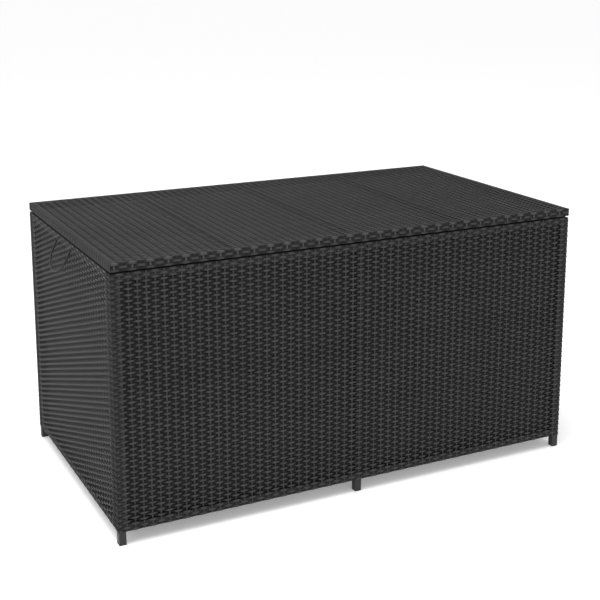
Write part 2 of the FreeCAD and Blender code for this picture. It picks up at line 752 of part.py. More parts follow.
# ---------------------------------------------------------------- hinges
def knuckle_span(x, low, high):
    """Part of a hinge's width, between two fractions of it counted from its middle."""
    return (x + leaf_width * low, x + leaf_width * high)


def hinge_leaf(name, x, z, spans, free_spans, sink):
    """Flat leaf with knuckles on some spans, cleared round its partner's knuckles on the others."""
    across = (hinge_y, hinge_z)
    flat = block(f"{name}_flat", about(x, leaf_width / 2), (tube_in_y, hinge_y), z)
    knuckles = [
        rod(f"{name}_knuckle_{index}", "x", knuckle_span(x, *span), across, barrel_radius)
        for index, span in enumerate(spans)
    ]
    clear = [
        rod(f"{name}_clear_{index}", "x", knuckle_span(x, *span), across, barrel_radius + near)
        for index, span in enumerate(free_spans)
    ]
    half = leaf_width / 2
    clear.append(rod(f"{name}_bore", "x", (x - half - wrap, x + half + wrap), across, pin_radius + near / 2))
    small = leaf_screw + near / 2
    large = leaf_screw_head + near / 2
    low_radius, high_radius = (small, large) if sink > 0 else (large, small)
    clear += [
        cone(f"{name}_sink_{way}", z[0], z[1], x + leaf_width / 3 * way, tube_mid_y, low_radius, high_radius)
        for way in (-1, 1)
    ]
    piece(name, cut(name, fuse(f"{name}_solid", [flat] + knuckles), clear))


BASE_SPANS = ((-0.5, -0.17), (0.17, 0.5))
LID_SPAN = ((-0.16, 0.16),)
BASE_FREE = ((-0.17, 0.17),)
LID_FREE = ((-0.5, -0.16), (0.16, 0.5))


def hinge_pin(name, x):
    """Pin with a small head at each end."""
    body = body_named(name)
    half = leaf_width / 2 + near
    head = half + pin_head
    profile = sketch_on(body, "XZ_Plane", f"{name}_profile")
    zero = pin_radius * 0
    outline(profile, [
        (zero, -head), (barrel_radius - near, -head), (barrel_radius - near, -half), (pin_radius, -half),
        (pin_radius, half), (barrel_radius - near, half), (barrel_radius - near, head), (zero, head),
    ])
    turned(body, profile, f"{name}_turned")
    place(body, x, hinge_y, hinge_z, TURNS["x"])
    piece(name, body)


def hinges():
    """Three butt hinges on the back rail, with their leaves in the gap under the lid."""
    for (place_name, x) in zip(("left", "mid", "right"), hinge_places):
        base_z = (body_top, body_top + leaf)
        lid_z = (lid_under - leaf, lid_under)
        hinge_leaf(f"hinge_base_leaf_{place_name}", x, base_z, BASE_SPANS, BASE_FREE, 1)
        hinge_leaf(f"hinge_lid_leaf_{place_name}", x, lid_z, LID_SPAN, LID_FREE, -1)
        hinge_pin(f"hinge_pin_{place_name}", x)


def hinge_screws():
    """Countersunk screws, down into the rail and up into the lid tube."""
    base = []
    lid = []
    for index, (x, y) in enumerate(hinge_screw_places()):
        top = body_top + leaf
        head = cone(f"base_cone_{index}", body_top, top, x, y, leaf_screw, leaf_screw_head)
        shank = rod(f"base_shank_{index}", "z", (body_top - leaf_screw_length, body_top), (x, y), leaf_screw)
        base.append(fuse(f"base_hinge_screw_{index}", [head, shank]))
        under = lid_under - leaf
        head = cone(f"lid_cone_{index}", under, lid_under, x, y, leaf_screw_head, leaf_screw)
        shank = rod(f"lid_shank_{index}", "z", (lid_under, lid_under + leaf_screw_length), (x, y), leaf_screw)
        lid.append(fuse(f"lid_hinge_screw_{index}", [head, shank]))
    group("hinge_base_screws", base)
    group("hinge_lid_screws", lid)


# ---------------------------------------------------------------- gas struts
bracket_inner = sleeve_in_x - wrap * 4
strut_plane = bracket_inner - strut_offset
strut_low_y = stile_mid_y
strut_low_z = hinge_z - strut_drop
strut_high_y = hinge_y - strut_reach
strut_high_z = hinge_z - strut_below
strut_run_y = number_of(strut_low_y) - number_of(strut_high_y)
strut_rise = number_of(strut_high_z) - number_of(strut_low_z)
strut_length = math.hypot(strut_run_y, strut_rise)
strut_turn = Rotation(Vector(1, 0, 0), math.degrees(math.atan2(strut_run_y, strut_rise)))


def strut_cylinder(hand, sign):
    """Cylinder with a bore for the piston, a gland at its mouth and an eye at its foot."""
    name = f"strut_cylinder_{hand}"
    body = body_named(name)
    zero = strut_rod * 0
    inside = strut_radius - strut_wall
    floor = strut_collar + strut_wall * 2
    gland = strut_body - strut_wall * 4
    profile = sketch_on(body, "XZ_Plane", f"{name}_profile")
    outline(profile, [
        (zero, stud_radius), (strut_rod, stud_radius), (strut_rod, strut_collar),
        (strut_radius, strut_collar), (strut_radius, strut_body),
        (strut_rod + near, strut_body), (strut_rod + near, gland),
        (inside, gland), (inside, floor), (zero, floor),
    ])
    turned(body, profile, f"{name}_turned")
    eye = sketch_on(body, "YZ_Plane", f"{name}_eye", -eye_width / 2)
    ring(eye, eye_radius)
    pad(body, eye, eye_width, f"{name}_eye_pad")
    bore = sketch_on(body, "YZ_Plane", f"{name}_bore", -eye_width)
    ring(bore, stud_radius + near)
    pocket(body, bore, eye_width * 2, f"{name}_bore_cut", backwards=True)
    place(body, strut_plane * sign, strut_low_y, strut_low_z, strut_turn)
    piece(name, body)


def strut_rod_piece(hand, sign):
    """Rod with its piston, upper eye and the stud that meets the lid bracket."""
    name = f"strut_rod_{hand}"
    body = body_named(name)
    zero = strut_rod * 0
    piston = strut_radius - strut_wall - near
    start = strut_collar + strut_wall * 2 + head_height * 2
    piston_top = start + eye_width
    profile = sketch_on(body, "XZ_Plane", f"{name}_profile")
    outline(profile, [
        (zero, start), (piston, start), (piston, piston_top), (strut_rod, piston_top),
        (strut_rod, strut_length - number_of(eye_radius) / 2),
        (zero, strut_length - number_of(eye_radius) / 2),
    ])
    turned(body, profile, f"{name}_turned")
    eye = sketch_on(body, "YZ_Plane", f"{name}_eye", -eye_width / 2)
    ring(eye, eye_radius, 0, strut_length)
    pad(body, eye, eye_width, f"{name}_eye_pad")
    reach = strut_offset - open_pivot_gap
    start_x = eye_width * 0 if sign > 0 else -reach
    stud = sketch_on(body, "YZ_Plane", f"{name}_stud", start_x)
    ring(stud, stud_radius, 0, strut_length)
    pad(body, stud, reach, f"{name}_stud_pad")
    place(body, strut_plane * sign, strut_low_y, strut_low_z, strut_turn)
    piece(name, body)


def strut_base_bracket(hand, sign):
    """Plate on the back stile with a headed stud through the cylinder's eye."""
    name = f"strut_base_bracket_{hand}"
    outer = liner_in_x
    inner = liner_in_x - plate
    y = about(stile_mid_y, plate_width * 0.3)
    z = about(strut_low_z, plate_width)
    flat = block(f"{name}_plate", between(sign, inner, outer), y, z)
    across = (strut_low_y, strut_low_z)
    eye_face = strut_plane - eye_width / 2
    stud = rod(f"{name}_stud", "x", between(sign, eye_face - near, inner), across, stud_radius)
    head_span = between(sign, eye_face - near - head_height, eye_face - near)
    head = rod(f"{name}_head", "x", head_span, across, bolt_head)
    piece(name, cut(name, fuse(f"{name}_solid", [flat, stud, head]), bracket_hole_tools(name, sign)))


def bracket_hole_tools(name, sign):
    span = between(sign, liner_in_x - plate * 2, liner_in_x + wrap)
    return [
        rod(f"{name}_hole_{index}", "x", span, (stile_mid_y, z), screw_radius + near)
        for index, z in enumerate(bracket_screw_heights())
    ]


def strut_lid_bracket(hand, sign):
    """Angle bracket on the inner side of the lid tube, with its leg down beside the strut."""
    name = f"strut_lid_bracket_{hand}"
    body = body_named(name)
    low = strut_high_z - eye_radius
    top = height - field - near
    corners = [
        (sleeve_in_x, lid_tube_under), (sleeve_in_x, top), (bracket_inner, top),
        (bracket_inner, low), (bracket_inner + plate, low), (bracket_inner + plate, lid_tube_under),
    ]
    profile = sketch_on(body, "XZ_Plane", f"{name}_profile")
    outline(profile, [(x * sign, z) for x, z in corners])
    pad(body, profile, plate_width, f"{name}_pad")
    holes = sketch_on(body, "YZ_Plane", f"{name}_holes", (bracket_inner - wrap) * sign)
    for y in lid_bracket_screw_places():
        ring(holes, screw_radius + near, y - (strut_high_y + plate_width / 2), lid_mid)
    pocket(body, holes, sleeve_in_x - bracket_inner + wrap * 2, f"{name}_drill", backwards=sign > 0)
    place(body, width * 0, strut_high_y + plate_width / 2, height * 0)
    piece(name, body)


def strut_screws():
    """Screws of the four strut brackets."""
    low = []
    high = []
    for hand, sign in SIDES:
        inner = liner_in_x - plate
        for index, z in enumerate(bracket_screw_heights()):
            across = (stile_mid_y, z)
            head_x = between(sign, inner - head_height, inner)
            head = rod(f"low_head_{hand}_{index}", "x", head_x, across, screw_head)
            shank_x = between(sign, inner, tube_in_x + tube_wall + wrap)
            shank = rod(f"low_shank_{hand}_{index}", "x", shank_x, across, screw_radius)
            low.append(fuse(f"low_screw_{hand}_{index}", [head, shank]))
        for index, y in enumerate(lid_bracket_screw_places()):
            across = (y, lid_mid)
            head_x = between(sign, bracket_inner - head_height, bracket_inner)
            head = rod(f"high_head_{hand}_{index}", "x", head_x, across, screw_head - near * 4)
            shank_x = between(sign, bracket_inner, tube_in_x + tube_wall + wrap)
            shank = rod(f"high_shank_{hand}_{index}", "x", shank_x, across, screw_radius)
            high.append(fuse(f"high_screw_{hand}_{index}", [head, shank]))
    group("strut_base_screws", low)
    group("strut_lid_screws", high)


def struts():
    for hand, sign in SIDES:
        strut_cylinder(hand, sign)
        strut_rod_piece(hand, sign)
        strut_base_bracket(hand, sign)
        strut_lid_bracket(hand, sign)
    strut_screws()


# ---------------------------------------------------------------- rope handles
# The loop's route in its own plane: distance out from the bend at the box, and distance along the side.
ROPE_ROUTE = [
    (2.8, -70), (20, -71), (38, -69), (56, -61), (72, -44), (83, -17),
    (83.5, 14), (76, 42), (60, 61), (41, 71), (22, 72), (2.8, 70),
]
ARC_SHARE = 0.45


def rope_point(sign, out, along):
    """One point of the loop in the box's frame."""
    tilt = math.radians(number_of(rope_tilt))
    bend_x = number_of(half_width + rope_stand)
    x = (bend_x + out * math.cos(tilt)) * sign
    y = along * number_of(rope_spacing) / (ROPE_ROUTE[-1][1] - ROPE_ROUTE[0][1])
    return Vector(x, y, number_of(rail_mid) - out * math.sin(tilt))


def rope_path(points):
    """Straight runs joined by tangent arcs; also the smallest arc's radius."""
    edges = []
    radii = []
    start = points[0]
    for before, corner, after in zip(points, points[1:], points[2:]):
        first = corner - before
        second = after - corner
        reach = ARC_SHARE * min(first.Length, second.Length)
        turn = first.getAngle(second)
        radii.append(reach / math.tan(turn / 2))
        enter = corner - first.normalize() * reach
        leave = corner + second.normalize() * reach
        bisector = (second - first).normalize()
        centre = corner + bisector * math.hypot(reach, radii[-1])
        middle = centre - bisector * radii[-1]
        edges.append(Part.LineSegment(start, enter).toShape())
        edges.append(Part.Arc(enter, middle, leave).toShape())
        start = leave
    edges.append(Part.LineSegment(start, points[-1]).toShape())
    return Part.Wire(edges), radii


def rope_handle(hand, sign):
    """Loop of rope outside the box, swept along its path."""
    points = [rope_point(sign, *spot) for spot in ROPE_ROUTE]
    path, radii = rope_path(points)
    section = Part.Wire(Part.Circle(points[0], points[1] - points[0], number_of(rope_radius)).toShape())
    loop = doc.addObject("Part::Feature", f"handle_rope_{hand}")
    loop.Shape = path.makePipeShell([section], True, False)
    whole = math.pi * number_of(rope_radius) ** 2 * path.Length
    print(f"handle_rope_{hand}: length {path.Length:.1f}, radii {[round(radius) for radius in radii]},",
          f"volume share {loop.Shape.Volume / whole:.4f}")
    piece(f"handle_rope_{hand}", loop)


def rope_anchors(hand, sign):
    """Rope ends through the top rail, rounded at the bend outside and knotted inside the box."""
    anchors = []
    for index, way in enumerate((-1, 1)):
        y = rope_spacing / 2 * way
        knot_x = liner_in_x - knot_radius
        stub_x = between(sign, knot_x, half_width + rope_stand)
        stub = rod(f"stub_{hand}_{index}", "x", stub_x, (y, rail_mid), rope_radius - rope_squeeze)
        tip = doc.addObject("Part::Sphere", f"tip_{hand}_{index}")
        tip.setExpression("Radius", formula_of(rope_radius))
        place(tip, (half_width + rope_stand) * sign, y, rail_mid, TURNS["x"])
        knot = doc.addObject("Part::Sphere", f"knot_{hand}_{index}")
        knot.setExpression("Radius", formula_of(knot_radius))
        place(knot, knot_x * sign, y, rail_mid, TURNS["x"])
        anchors.append(fuse(f"anchor_{hand}_{index}", [stub, tip, knot]))
    group(f"handle_anchor_{hand}", anchors)


def handles():
    for hand, sign in SIDES:
        rope_handle(hand, sign)
        rope_anchors(hand, sign)


# ---------------------------------------------------------------- build, check and write
def build():
    for end, side in ENDS:
        long_panel(end, side)
    for hand, sign in SIDES:
        side_panel(hand, sign)
    lid_panel()
    floor_bars()
    bar_screws()
    feet()
    panel_bolts()
    bumpers()
    liner_walls()
    liner_studs()
    hinges()
    hinge_screws()
    struts()
    handles()
    doc.recompute()


def check():
    """Refuse to write a model with a failed object or an invalid sub-part."""
    faulty = [item.Name for item in doc.Objects if "Invalid" in item.State or "Error" in item.State]
    faulty += [item.Name for item in pieces if item.Shape.isNull() or not item.Shape.isValid()]
    if faulty:
        raise ValueError(f"failed objects: {faulty}")


def write():
    os.makedirs("parts", exist_ok=True)
    for item in pieces:
        item.Shape.exportStep(f"parts/{item.Label}.step")
        print(f"{item.Label}: {len(item.Shape.Solids)} solids, {item.Shape.Volume / 1000:.2f} cm3")


build()
check()
write()
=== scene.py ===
"""Looks of the deck storage box: woven strand, liner cloth, rope handles, materials, light and camera."""

import json
import math

import bmesh
import bpy
import numpy as np
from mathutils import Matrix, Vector


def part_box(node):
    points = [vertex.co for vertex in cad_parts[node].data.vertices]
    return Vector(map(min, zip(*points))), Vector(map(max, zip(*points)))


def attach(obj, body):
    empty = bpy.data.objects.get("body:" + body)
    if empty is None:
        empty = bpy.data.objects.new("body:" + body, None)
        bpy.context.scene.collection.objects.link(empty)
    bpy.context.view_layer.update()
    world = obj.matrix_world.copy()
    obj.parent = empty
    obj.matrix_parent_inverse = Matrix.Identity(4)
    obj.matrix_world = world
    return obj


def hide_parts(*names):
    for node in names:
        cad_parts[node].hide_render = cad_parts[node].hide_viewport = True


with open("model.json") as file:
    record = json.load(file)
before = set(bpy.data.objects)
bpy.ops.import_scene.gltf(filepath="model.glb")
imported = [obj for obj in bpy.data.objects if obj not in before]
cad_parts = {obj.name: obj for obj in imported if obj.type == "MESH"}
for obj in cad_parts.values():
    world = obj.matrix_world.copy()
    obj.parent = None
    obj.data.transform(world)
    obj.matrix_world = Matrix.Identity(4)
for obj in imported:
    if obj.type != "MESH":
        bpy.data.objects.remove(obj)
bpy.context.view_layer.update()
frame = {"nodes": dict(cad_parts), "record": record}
random = np.random.default_rng(7)

# ---------------------------------------------------------------- sizes from the frame, in metres
front_lo, front_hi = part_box("front_weave")
HALF_X = float(front_hi[0])
HALF_Y = float(-front_lo[1])
SIDE_Y = float(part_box("left_weave")[1][1])
LOW, HIGH = float(front_lo[2]), float(front_hi[2])
LID_TOP = float(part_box("lid_weave")[1][2])
TUBE = 0.020
SLEEVE = 0.002  # strand thickness that fits over a tube
LID_LOW = LID_TOP - TUBE - 2 * SLEEVE
LIMIT_X = HALF_X - TUBE - SLEEVE  # inner faces of the tubes
LIMIT_Y = HALF_Y - TUBE - SLEEVE

# ---------------------------------------------------------------- the weave
STAKES, SIDE_STAKES = 60, 32  # pitches along the front and along a side
STAKE_PITCH = 2 * HALF_X / STAKES
SIDE_PITCH = 2 * SIDE_Y / SIDE_STAKES
ROWS = 88
ROW_PITCH = (HIGH - LOW) / ROWS
LID_ROWS = 102
LID_ROW_PITCH = 2 * HALF_Y / LID_ROWS
STRAND = 0.0063  # strand width on the body
LID_STRAND = 0.0072
RIM_STRAND = 0.0064
SIDE_LIGHT = 1.45  # how much the painted highlight on the crests of the two ends is strengthened
SIDE_DARK = 0.25  # and how much darker their dips are painted, as painted shade
RIM_LIGHT = (1.3, 1.0, 0.8)  # how strongly the crests of the rim's three rows are painted light, from the top; the lower rows get less, as painted shade
STRAND_THICK = 0.0016
FLAT_THICK = 0.0009  # where it lies over a tube
STAKE = 0.0056
STAKE_THICK = 0.0024
FIELD_MID = 0.0031
FIELD_SWING = 0.0024
LID_MID = 0.00225
LID_SWING = 0.0015
LID_STAKE_THICK = 0.0013
POST_REACH = 0.014  # half the width kept shallow in front of the middle post
POST_DEPTH = 0.0036
STAKE_SWING = 0.00012
FLAT_MID = 0.0008
FLAT_SWING = 0.0007
BEND = 0.00105  # radius of a strand's centre line round a tube's corner
TAIL = 0.012  # how far a stake's end runs back behind its tube
SECTION = np.array([(-0.5, -0.04), (-0.3, 0.38), (0, 0.5), (0.3, 0.38), (0.5, -0.04), (0, -0.45)])
SIDES = len(SECTION)
STEPS = 4  # points from one stake to the next
TURNED = (0.42, 0.02)  # how much even and odd rows stand out where they turn round a tube, given as the painted lightness of their colour
POST_LOW = (-0.0002, 0.0003)  # how far even and odd rows lie below the mean on a corner post
POST_WIDTHS = (0.0080, 0.0042)  # widths of even and odd rows there
STILE_LOW = (0.0, 0.00012)
STILE_WIDTHS = (0.0064, 0.0064)
LID_END_WIDTHS = (0.0078, 0.0044)  # widths of even and odd rows on the lid's two ends
# painted highlight level of the even rows where they wrap the lid's two ends
LID_END_PROUD = 0.8
RIM_FIRST, RIM_PITCH = 0.0012, 0.0086  # the rim's three rows, down from the sleeve's corner
BAND = 0.016  # share of the bake map's height to a strand's length


def unit(v):
    return v / np.maximum(np.linalg.norm(v, axis=-1, keepdims=True), 1e-12)


def skin(lines, across, outward, width, thick):
    """SECTION laid round every point of every line, and which lines have their faces the wrong way round."""
    m, n, _ = lines.shape
    tangent = unit(np.gradient(lines, axis=1))
    across = np.broadcast_to(np.array(across, float), lines.shape)
    out = unit(np.cross(across, tangent))
    middle = n // 2
    flip = np.sign((out[:, middle] * np.array(outward)).sum(-1))
    out = out * flip[:, None, None]
    width = np.broadcast_to(np.asarray(width, float), (m, n))[..., None, None]
    thick = np.broadcast_to(np.asarray(thick, float), (m, n))[..., None, None]
    points = (
        lines[:, :, None]
        + across[:, :, None] * SECTION[None, None, :, :1] * width
        + out[:, :, None] * SECTION[None, None, :, 1:] * thick
    )
    turned = (np.cross(across[:, middle], tangent[:, middle]) * out[:, middle]).sum(-1) > 0
    return points.reshape(-1, 3), turned


def skin_faces(m, n, turned):
    """Quads along m strands of n points, and the two quads that close each end of a strand."""
    ring = np.arange(m * n).reshape(m, n)
    a, b = ring[:, :-1].reshape(-1, 1) * SIDES, ring[:, 1:].reshape(-1, 1) * SIDES
    i, j = np.arange(SIDES), (np.arange(SIDES) + 1) % SIDES
    quads = np.stack([a + i, a + j, b + j, b + i], axis=-1)
    sides = np.repeat(turned, n - 1)
    quads[sides] = quads[sides][..., ::-1]
    low = np.concatenate([ring[:, 0], ring[:, -1]])[:, None] * SIDES
    ends = np.concatenate([low + [0, 1, 2, 5], low + [2, 3, 4, 5]])
    far = np.tile(np.repeat([False, True], m), 2) ^ np.tile(turned, 4)
    ends[~far] = ends[~far][:, ::-1]
    return np.concatenate([quads.reshape(-1, 4), ends])


def skin_maps(lines, turned, columns, band, total):
    """Two UV layers: a stretch of the bake map for each strand, and metres along it by share round it."""
    m, n, _ = lines.shape
    i = np.arange(SIDES)
    steps = np.linalg.norm(np.diff(lines, axis=1), axis=2)
    along = np.concatenate([np.zeros((m, 1)), np.cumsum(steps, axis=1)], axis=1)
    row, column = np.arange(m) // columns, np.arange(m) % columns
    u = (column[:, None] + 0.01 + along / along[:, -1:] * 0.98) / columns
    base = np.repeat((band + row) / total, n - 1)[:, None]
    lift = 0.94 / total / SIDES
    sides = np.repeat(turned, n - 1)

    def corners(at, low, high):
        start, end = at[:, :-1].reshape(-1, 1), at[:, 1:].reshape(-1, 1)
        order = [(start, low), (start, high), (end, high), (end, low)]
        uv = np.stack([np.stack(np.broadcast_arrays(a, b), -1) for a, b in order], axis=2)
        uv[sides] = uv[sides][:, :, ::-1]
        return uv.reshape(-1, 2)

    spot = np.stack([u[:, 0], (band + row + 0.97) / total], -1)
    patch = [(0, 0), (2e-3, 0), (2e-3, 2e-4), (0, 2e-4)]
    ends = np.repeat(np.tile(spot, (4, 1)), 4, axis=0) + np.tile(patch, (4 * m, 1))
    bake = np.concatenate([corners(u, base + (i + 0.15) * lift, base + (i + 0.98) * lift), ends])
    own = np.concatenate([corners(along, i / SIDES, (i + 1) / SIDES), np.zeros((len(ends), 2))])
    return bake, own


def strand_mesh(name, data):
    """A mesh of quads from arrays of points, faces, point attributes and UV layers."""
    mesh = bpy.data.meshes.new(name)
    points, faces = data["points"], data["faces"]
    mesh.vertices.add(len(points))
    mesh.vertices.foreach_set("co", points.astype(np.float32).reshape(-1))
    mesh.loops.add(faces.size)
    mesh.loops.foreach_set("vertex_index", faces.astype(np.int32).reshape(-1))
    mesh.polygons.add(len(faces))
    mesh.polygons.foreach_set("loop_start", np.arange(len(faces), dtype=np.int32) * 4)
    mesh.polygons.foreach_set("loop_total", np.full(len(faces), 4, np.int32))
    mesh.update(calc_edges=True)
    mesh.polygons.foreach_set("use_smooth", np.ones(len(faces), bool))
    for label in ("tone", "proud"):
        layer = mesh.attributes.new(label, "FLOAT", "POINT")
        layer.data.foreach_set("value", data[label].astype(np.float32))
    for label in ("OFBake", "strand"):
        layer = mesh.uv_layers.new(name=label)
        layer.data.foreach_set("uv", data[label].astype(np.float32).reshape(-1))
    mesh.uv_layers["OFBake"].active = True
    mesh.uv_layers["OFBake"].active_render = True
    return mesh


def add_piece(name, mesh, slot, body, *replaced):
    """Put a mesh into the scene as a piece that rides on a body and stands for CAD nodes."""
    mesh.materials.append(MATERIALS[slot])
    piece = bpy.data.objects.new(name, mesh)
    bpy.context.scene.collection.objects.link(piece)
    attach(piece, body)
    if replaced:
        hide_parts(*replaced)
    return piece


def strands(name, groups, body, *replaced):
    """One mesh of many strands. A group is (lines m×n×3, across 3, outward 3, width, thickness, proud).

    Width, thickness and proud are numbers or m×n arrays.
    Proud is 1 where a strand stands out and 0 where it dips; the material paints it into the colour as painted
    highlight on the crests and painted shade in the dips.
    """
    columns = []
    for lines, *_ in groups:
        length = np.linalg.norm(np.diff(lines[0], axis=0), axis=1).sum()
        columns.append(max(1, round(math.sqrt(len(lines) * BAND / length))))
    total = sum(math.ceil(len(group[0]) / count) for group, count in zip(groups, columns))
    parts = {"points": [], "faces": [], "tone": [], "proud": [], "OFBake": [], "strand": []}
    start = band = 0
    for (lines, across, outward, width, thick, proud), count in zip(groups, columns):
        m, n, _ = lines.shape
        points, turned = skin(lines, across, outward, width, thick)
        bake, own = skin_maps(lines, turned, count, band, total)
        parts["points"].append(points)
        parts["faces"].append(skin_faces(m, n, turned) + start)
        parts["tone"].append(np.repeat(random.uniform(-1, 1, m), n * SIDES))
        parts["proud"].append(np.repeat(np.broadcast_to(np.asarray(proud, float), (m, n)).reshape(-1), SIDES))
        parts["OFBake"].append(bake)
        parts["strand"].append(own)
        start += len(points)
        band += math.ceil(m / count)
    mesh = strand_mesh(name, {key: np.concatenate(values) for key, values in parts.items()})
    return add_piece(name, mesh, "woven_strand", body, *replaced)


def closed_mesh(name, points, faces):
    """A smooth mesh with every face turned outward."""
    mesh = bpy.data.meshes.new(name)
    mesh.from_pydata(points.tolist(), [], faces)
    mesh.polygons.foreach_set("use_smooth", np.ones(len(mesh.polygons), bool))
    mesh.update()
    shell = bmesh.new()
    shell.from_mesh(mesh)
    bmesh.ops.recalc_face_normals(shell, faces=shell.faces)
    shell.to_mesh(mesh)
    shell.free()
    return mesh


def corner(centre, start, turn, radius=BEND, bits=3):
    """Points in a plane round a corner: from angle start, by turn, in degrees."""
    angles = np.radians(start + np.linspace(0, turn, bits))
    return [(centre[0] + radius * math.cos(a), centre[1] + radius * math.sin(a)) for a in angles]


# ---------------------------------------------------------------- materials
def nodes_of(name):
    material = bpy.data.materials.new(name)
    material.use_nodes = True
    tree = material.node_tree
    shader = next(n for n in tree.nodes if n.type == "BSDF_PRINCIPLED")
    return material, tree, shader


def add(tree, kind, **settings):
    node = tree.nodes.new(kind)
    for key, value in settings.items():
        setattr(node, key, value)
    return node


def ramp(tree, source, stops):
    node = add(tree, "ShaderNodeValToRGB")
    elements = node.color_ramp.elements
    while len(elements) < len(stops):
        elements.new(0.5)
    for element, (at, value) in zip(elements, stops):
        element.position = at
        element.color = (*value, 1) if isinstance(value, tuple) else (value, value, value, 1)
    tree.links.new(source, node.inputs["Fac"])
    return node.outputs["Color"]


def noise(tree, scale, detail=3, stretch=(1, 1, 1), uv=None):
    if uv:
        source = add(tree, "ShaderNodeUVMap", uv_map=uv).outputs["UV"]
    else:
        source = add(tree, "ShaderNodeTexCoord").outputs["Object"]
    mapping = add(tree, "ShaderNodeMapping")
    mapping.inputs["Scale"].default_value = stretch
    tree.links.new(source, mapping.inputs["Vector"])
    node = add(tree, "ShaderNodeTexNoise")
    node.inputs["Scale"].default_value = scale
    node.inputs["Detail"].default_value = detail
    tree.links.new(mapping.outputs["Vector"], node.inputs["Vector"])
    return node.outputs["Fac"]


def math_node(tree, operation, a, b):
    node = add(tree, "ShaderNodeMath", operation=operation)
    for socket, value in zip(node.inputs, (a, b)):
        if isinstance(value, (int, float)):
            socket.default_value = value
        else:
            tree.links.new(value, socket)
    return node.outputs["Value"]


def blend_colour(tree, factor, a, b, kind="MIX"):
    node = add(tree, "ShaderNodeMix", data_type="RGBA", blend_type=kind)
    sockets = [s for s in node.inputs if s.type == "RGBA"]
    for socket, value in ((node.inputs[0], factor), (sockets[0], a), (sockets[1], b)):
        if isinstance(value, (int, float)):
            socket.default_value = value
        elif isinstance(value, tuple):
            socket.default_value = (*value, 1)
        else:
            tree.links.new(value, socket)
    return next(s for s in node.outputs if s.type == "RGBA")


def bump(tree, shader, height, strength, distance):
    node = add(tree, "ShaderNodeBump")
    node.inputs["Strength"].default_value = strength
    node.inputs["Distance"].default_value = distance
    tree.links.new(height, node.inputs["Height"])
    tree.links.new(node.outputs["Normal"], shader.inputs["Normal"])


RIBS = 12  # round a strand
THREAD = 0.0016  # pitch of the liner cloth's threads


def mixed(tree, a, share_a, b, share_b):
    a, b = math_node(tree, "MULTIPLY", a, share_a), math_node(tree, "MULTIPLY", b, share_b)
    return math_node(tree, "ADD", a, b)


def strand_material():
    """Extruded resin strand: charcoal, faintly ribbed along its length, with painted highlight on its crests
    and painted shade in its dips.
    """
    material, tree, shader = nodes_of("woven_strand")
    tone = add(tree, "ShaderNodeAttribute", attribute_name="tone").outputs["Fac"]
    proud = add(tree, "ShaderNodeAttribute", attribute_name="proud").outputs["Fac"]
    cloud = noise(tree, 5, 4)
    speck = noise(tree, 260, 2)
    value = math_node(tree, "MULTIPLY", tone, 0.08)
    # painted light: the proud attribute makes the crests lighter (painted highlight) and the dips darker
    # (painted shade)
    value = math_node(tree, "ADD", value, math_node(tree, "MULTIPLY", proud, 0.62))
    value = math_node(tree, "ADD", value, math_node(tree, "MULTIPLY", cloud, 0.22))
    value = math_node(tree, "ADD", value, math_node(tree, "MULTIPLY", speck, 0.16))
    stops = [(0.1, (0.0035, 0.0035, 0.0036)), (0.5, (0.0170, 0.0170, 0.0172)), (1.0, (0.048, 0.048, 0.048))]
    colour = ramp(tree, value, stops)
    tree.links.new(colour, shader.inputs["Base Color"])
    dull = math_node(tree, "ADD", speck, 0.5)
    dull = math_node(tree, "SUBTRACT", dull, math_node(tree, "MULTIPLY", proud, 0.75))
    rough = ramp(tree, dull, [(0.1, 0.50), (0.9, 0.85)])
    tree.links.new(rough, shader.inputs["Roughness"])
    shader.inputs["Specular IOR Level"].default_value = 0.34
    own = add(tree, "ShaderNodeUVMap", uv_map="strand")
    split = add(tree, "ShaderNodeSeparateXYZ")
    tree.links.new(own.outputs["UV"], split.inputs["Vector"])
    ribs = math_node(tree, "SINE", math_node(tree, "MULTIPLY", split.outputs["Y"], 2 * math.pi * RIBS), 0.0)
    grain = noise(tree, 1.0, 2, stretch=(120, 9, 1), uv="strand")
    height = math_node(tree, "ADD", math_node(tree, "MULTIPLY", ribs, 0.5), grain)
    bump(tree, shader, height, 0.35, 0.00022)
    return material


def steel_material(name, dark, light, rough, metallic=0.0, spec=0.4, grain=420, bump_size=0.00012):
    """Powder coat, plastic, rubber or bare metal: fine texture, cloudy tone and rubbed spots."""
    material, tree, shader = nodes_of(name)
    cloud = noise(tree, 9, 4)
    speck = noise(tree, grain, 3)
    value = mixed(tree, cloud, 0.6, speck, 0.4)
    colour = ramp(tree, value, [(0.32, dark), (0.7, light)])
    worn = ramp(tree, noise(tree, 34, 5), [(0.62, 0.0), (0.74, 0.55)])
    colour = blend_colour(tree, worn, colour, tuple(min(1.0, c * 1.5) for c in light))
    tree.links.new(colour, shader.inputs["Base Color"])
    tree.links.new(ramp(tree, value, [(0.3, rough - 0.07), (0.7, rough + 0.08)]), shader.inputs["Roughness"])
    shader.inputs["Metallic"].default_value = metallic
    shader.inputs["Specular IOR Level"].default_value = spec
    bump(tree, shader, speck, 0.4, bump_size)
    return material


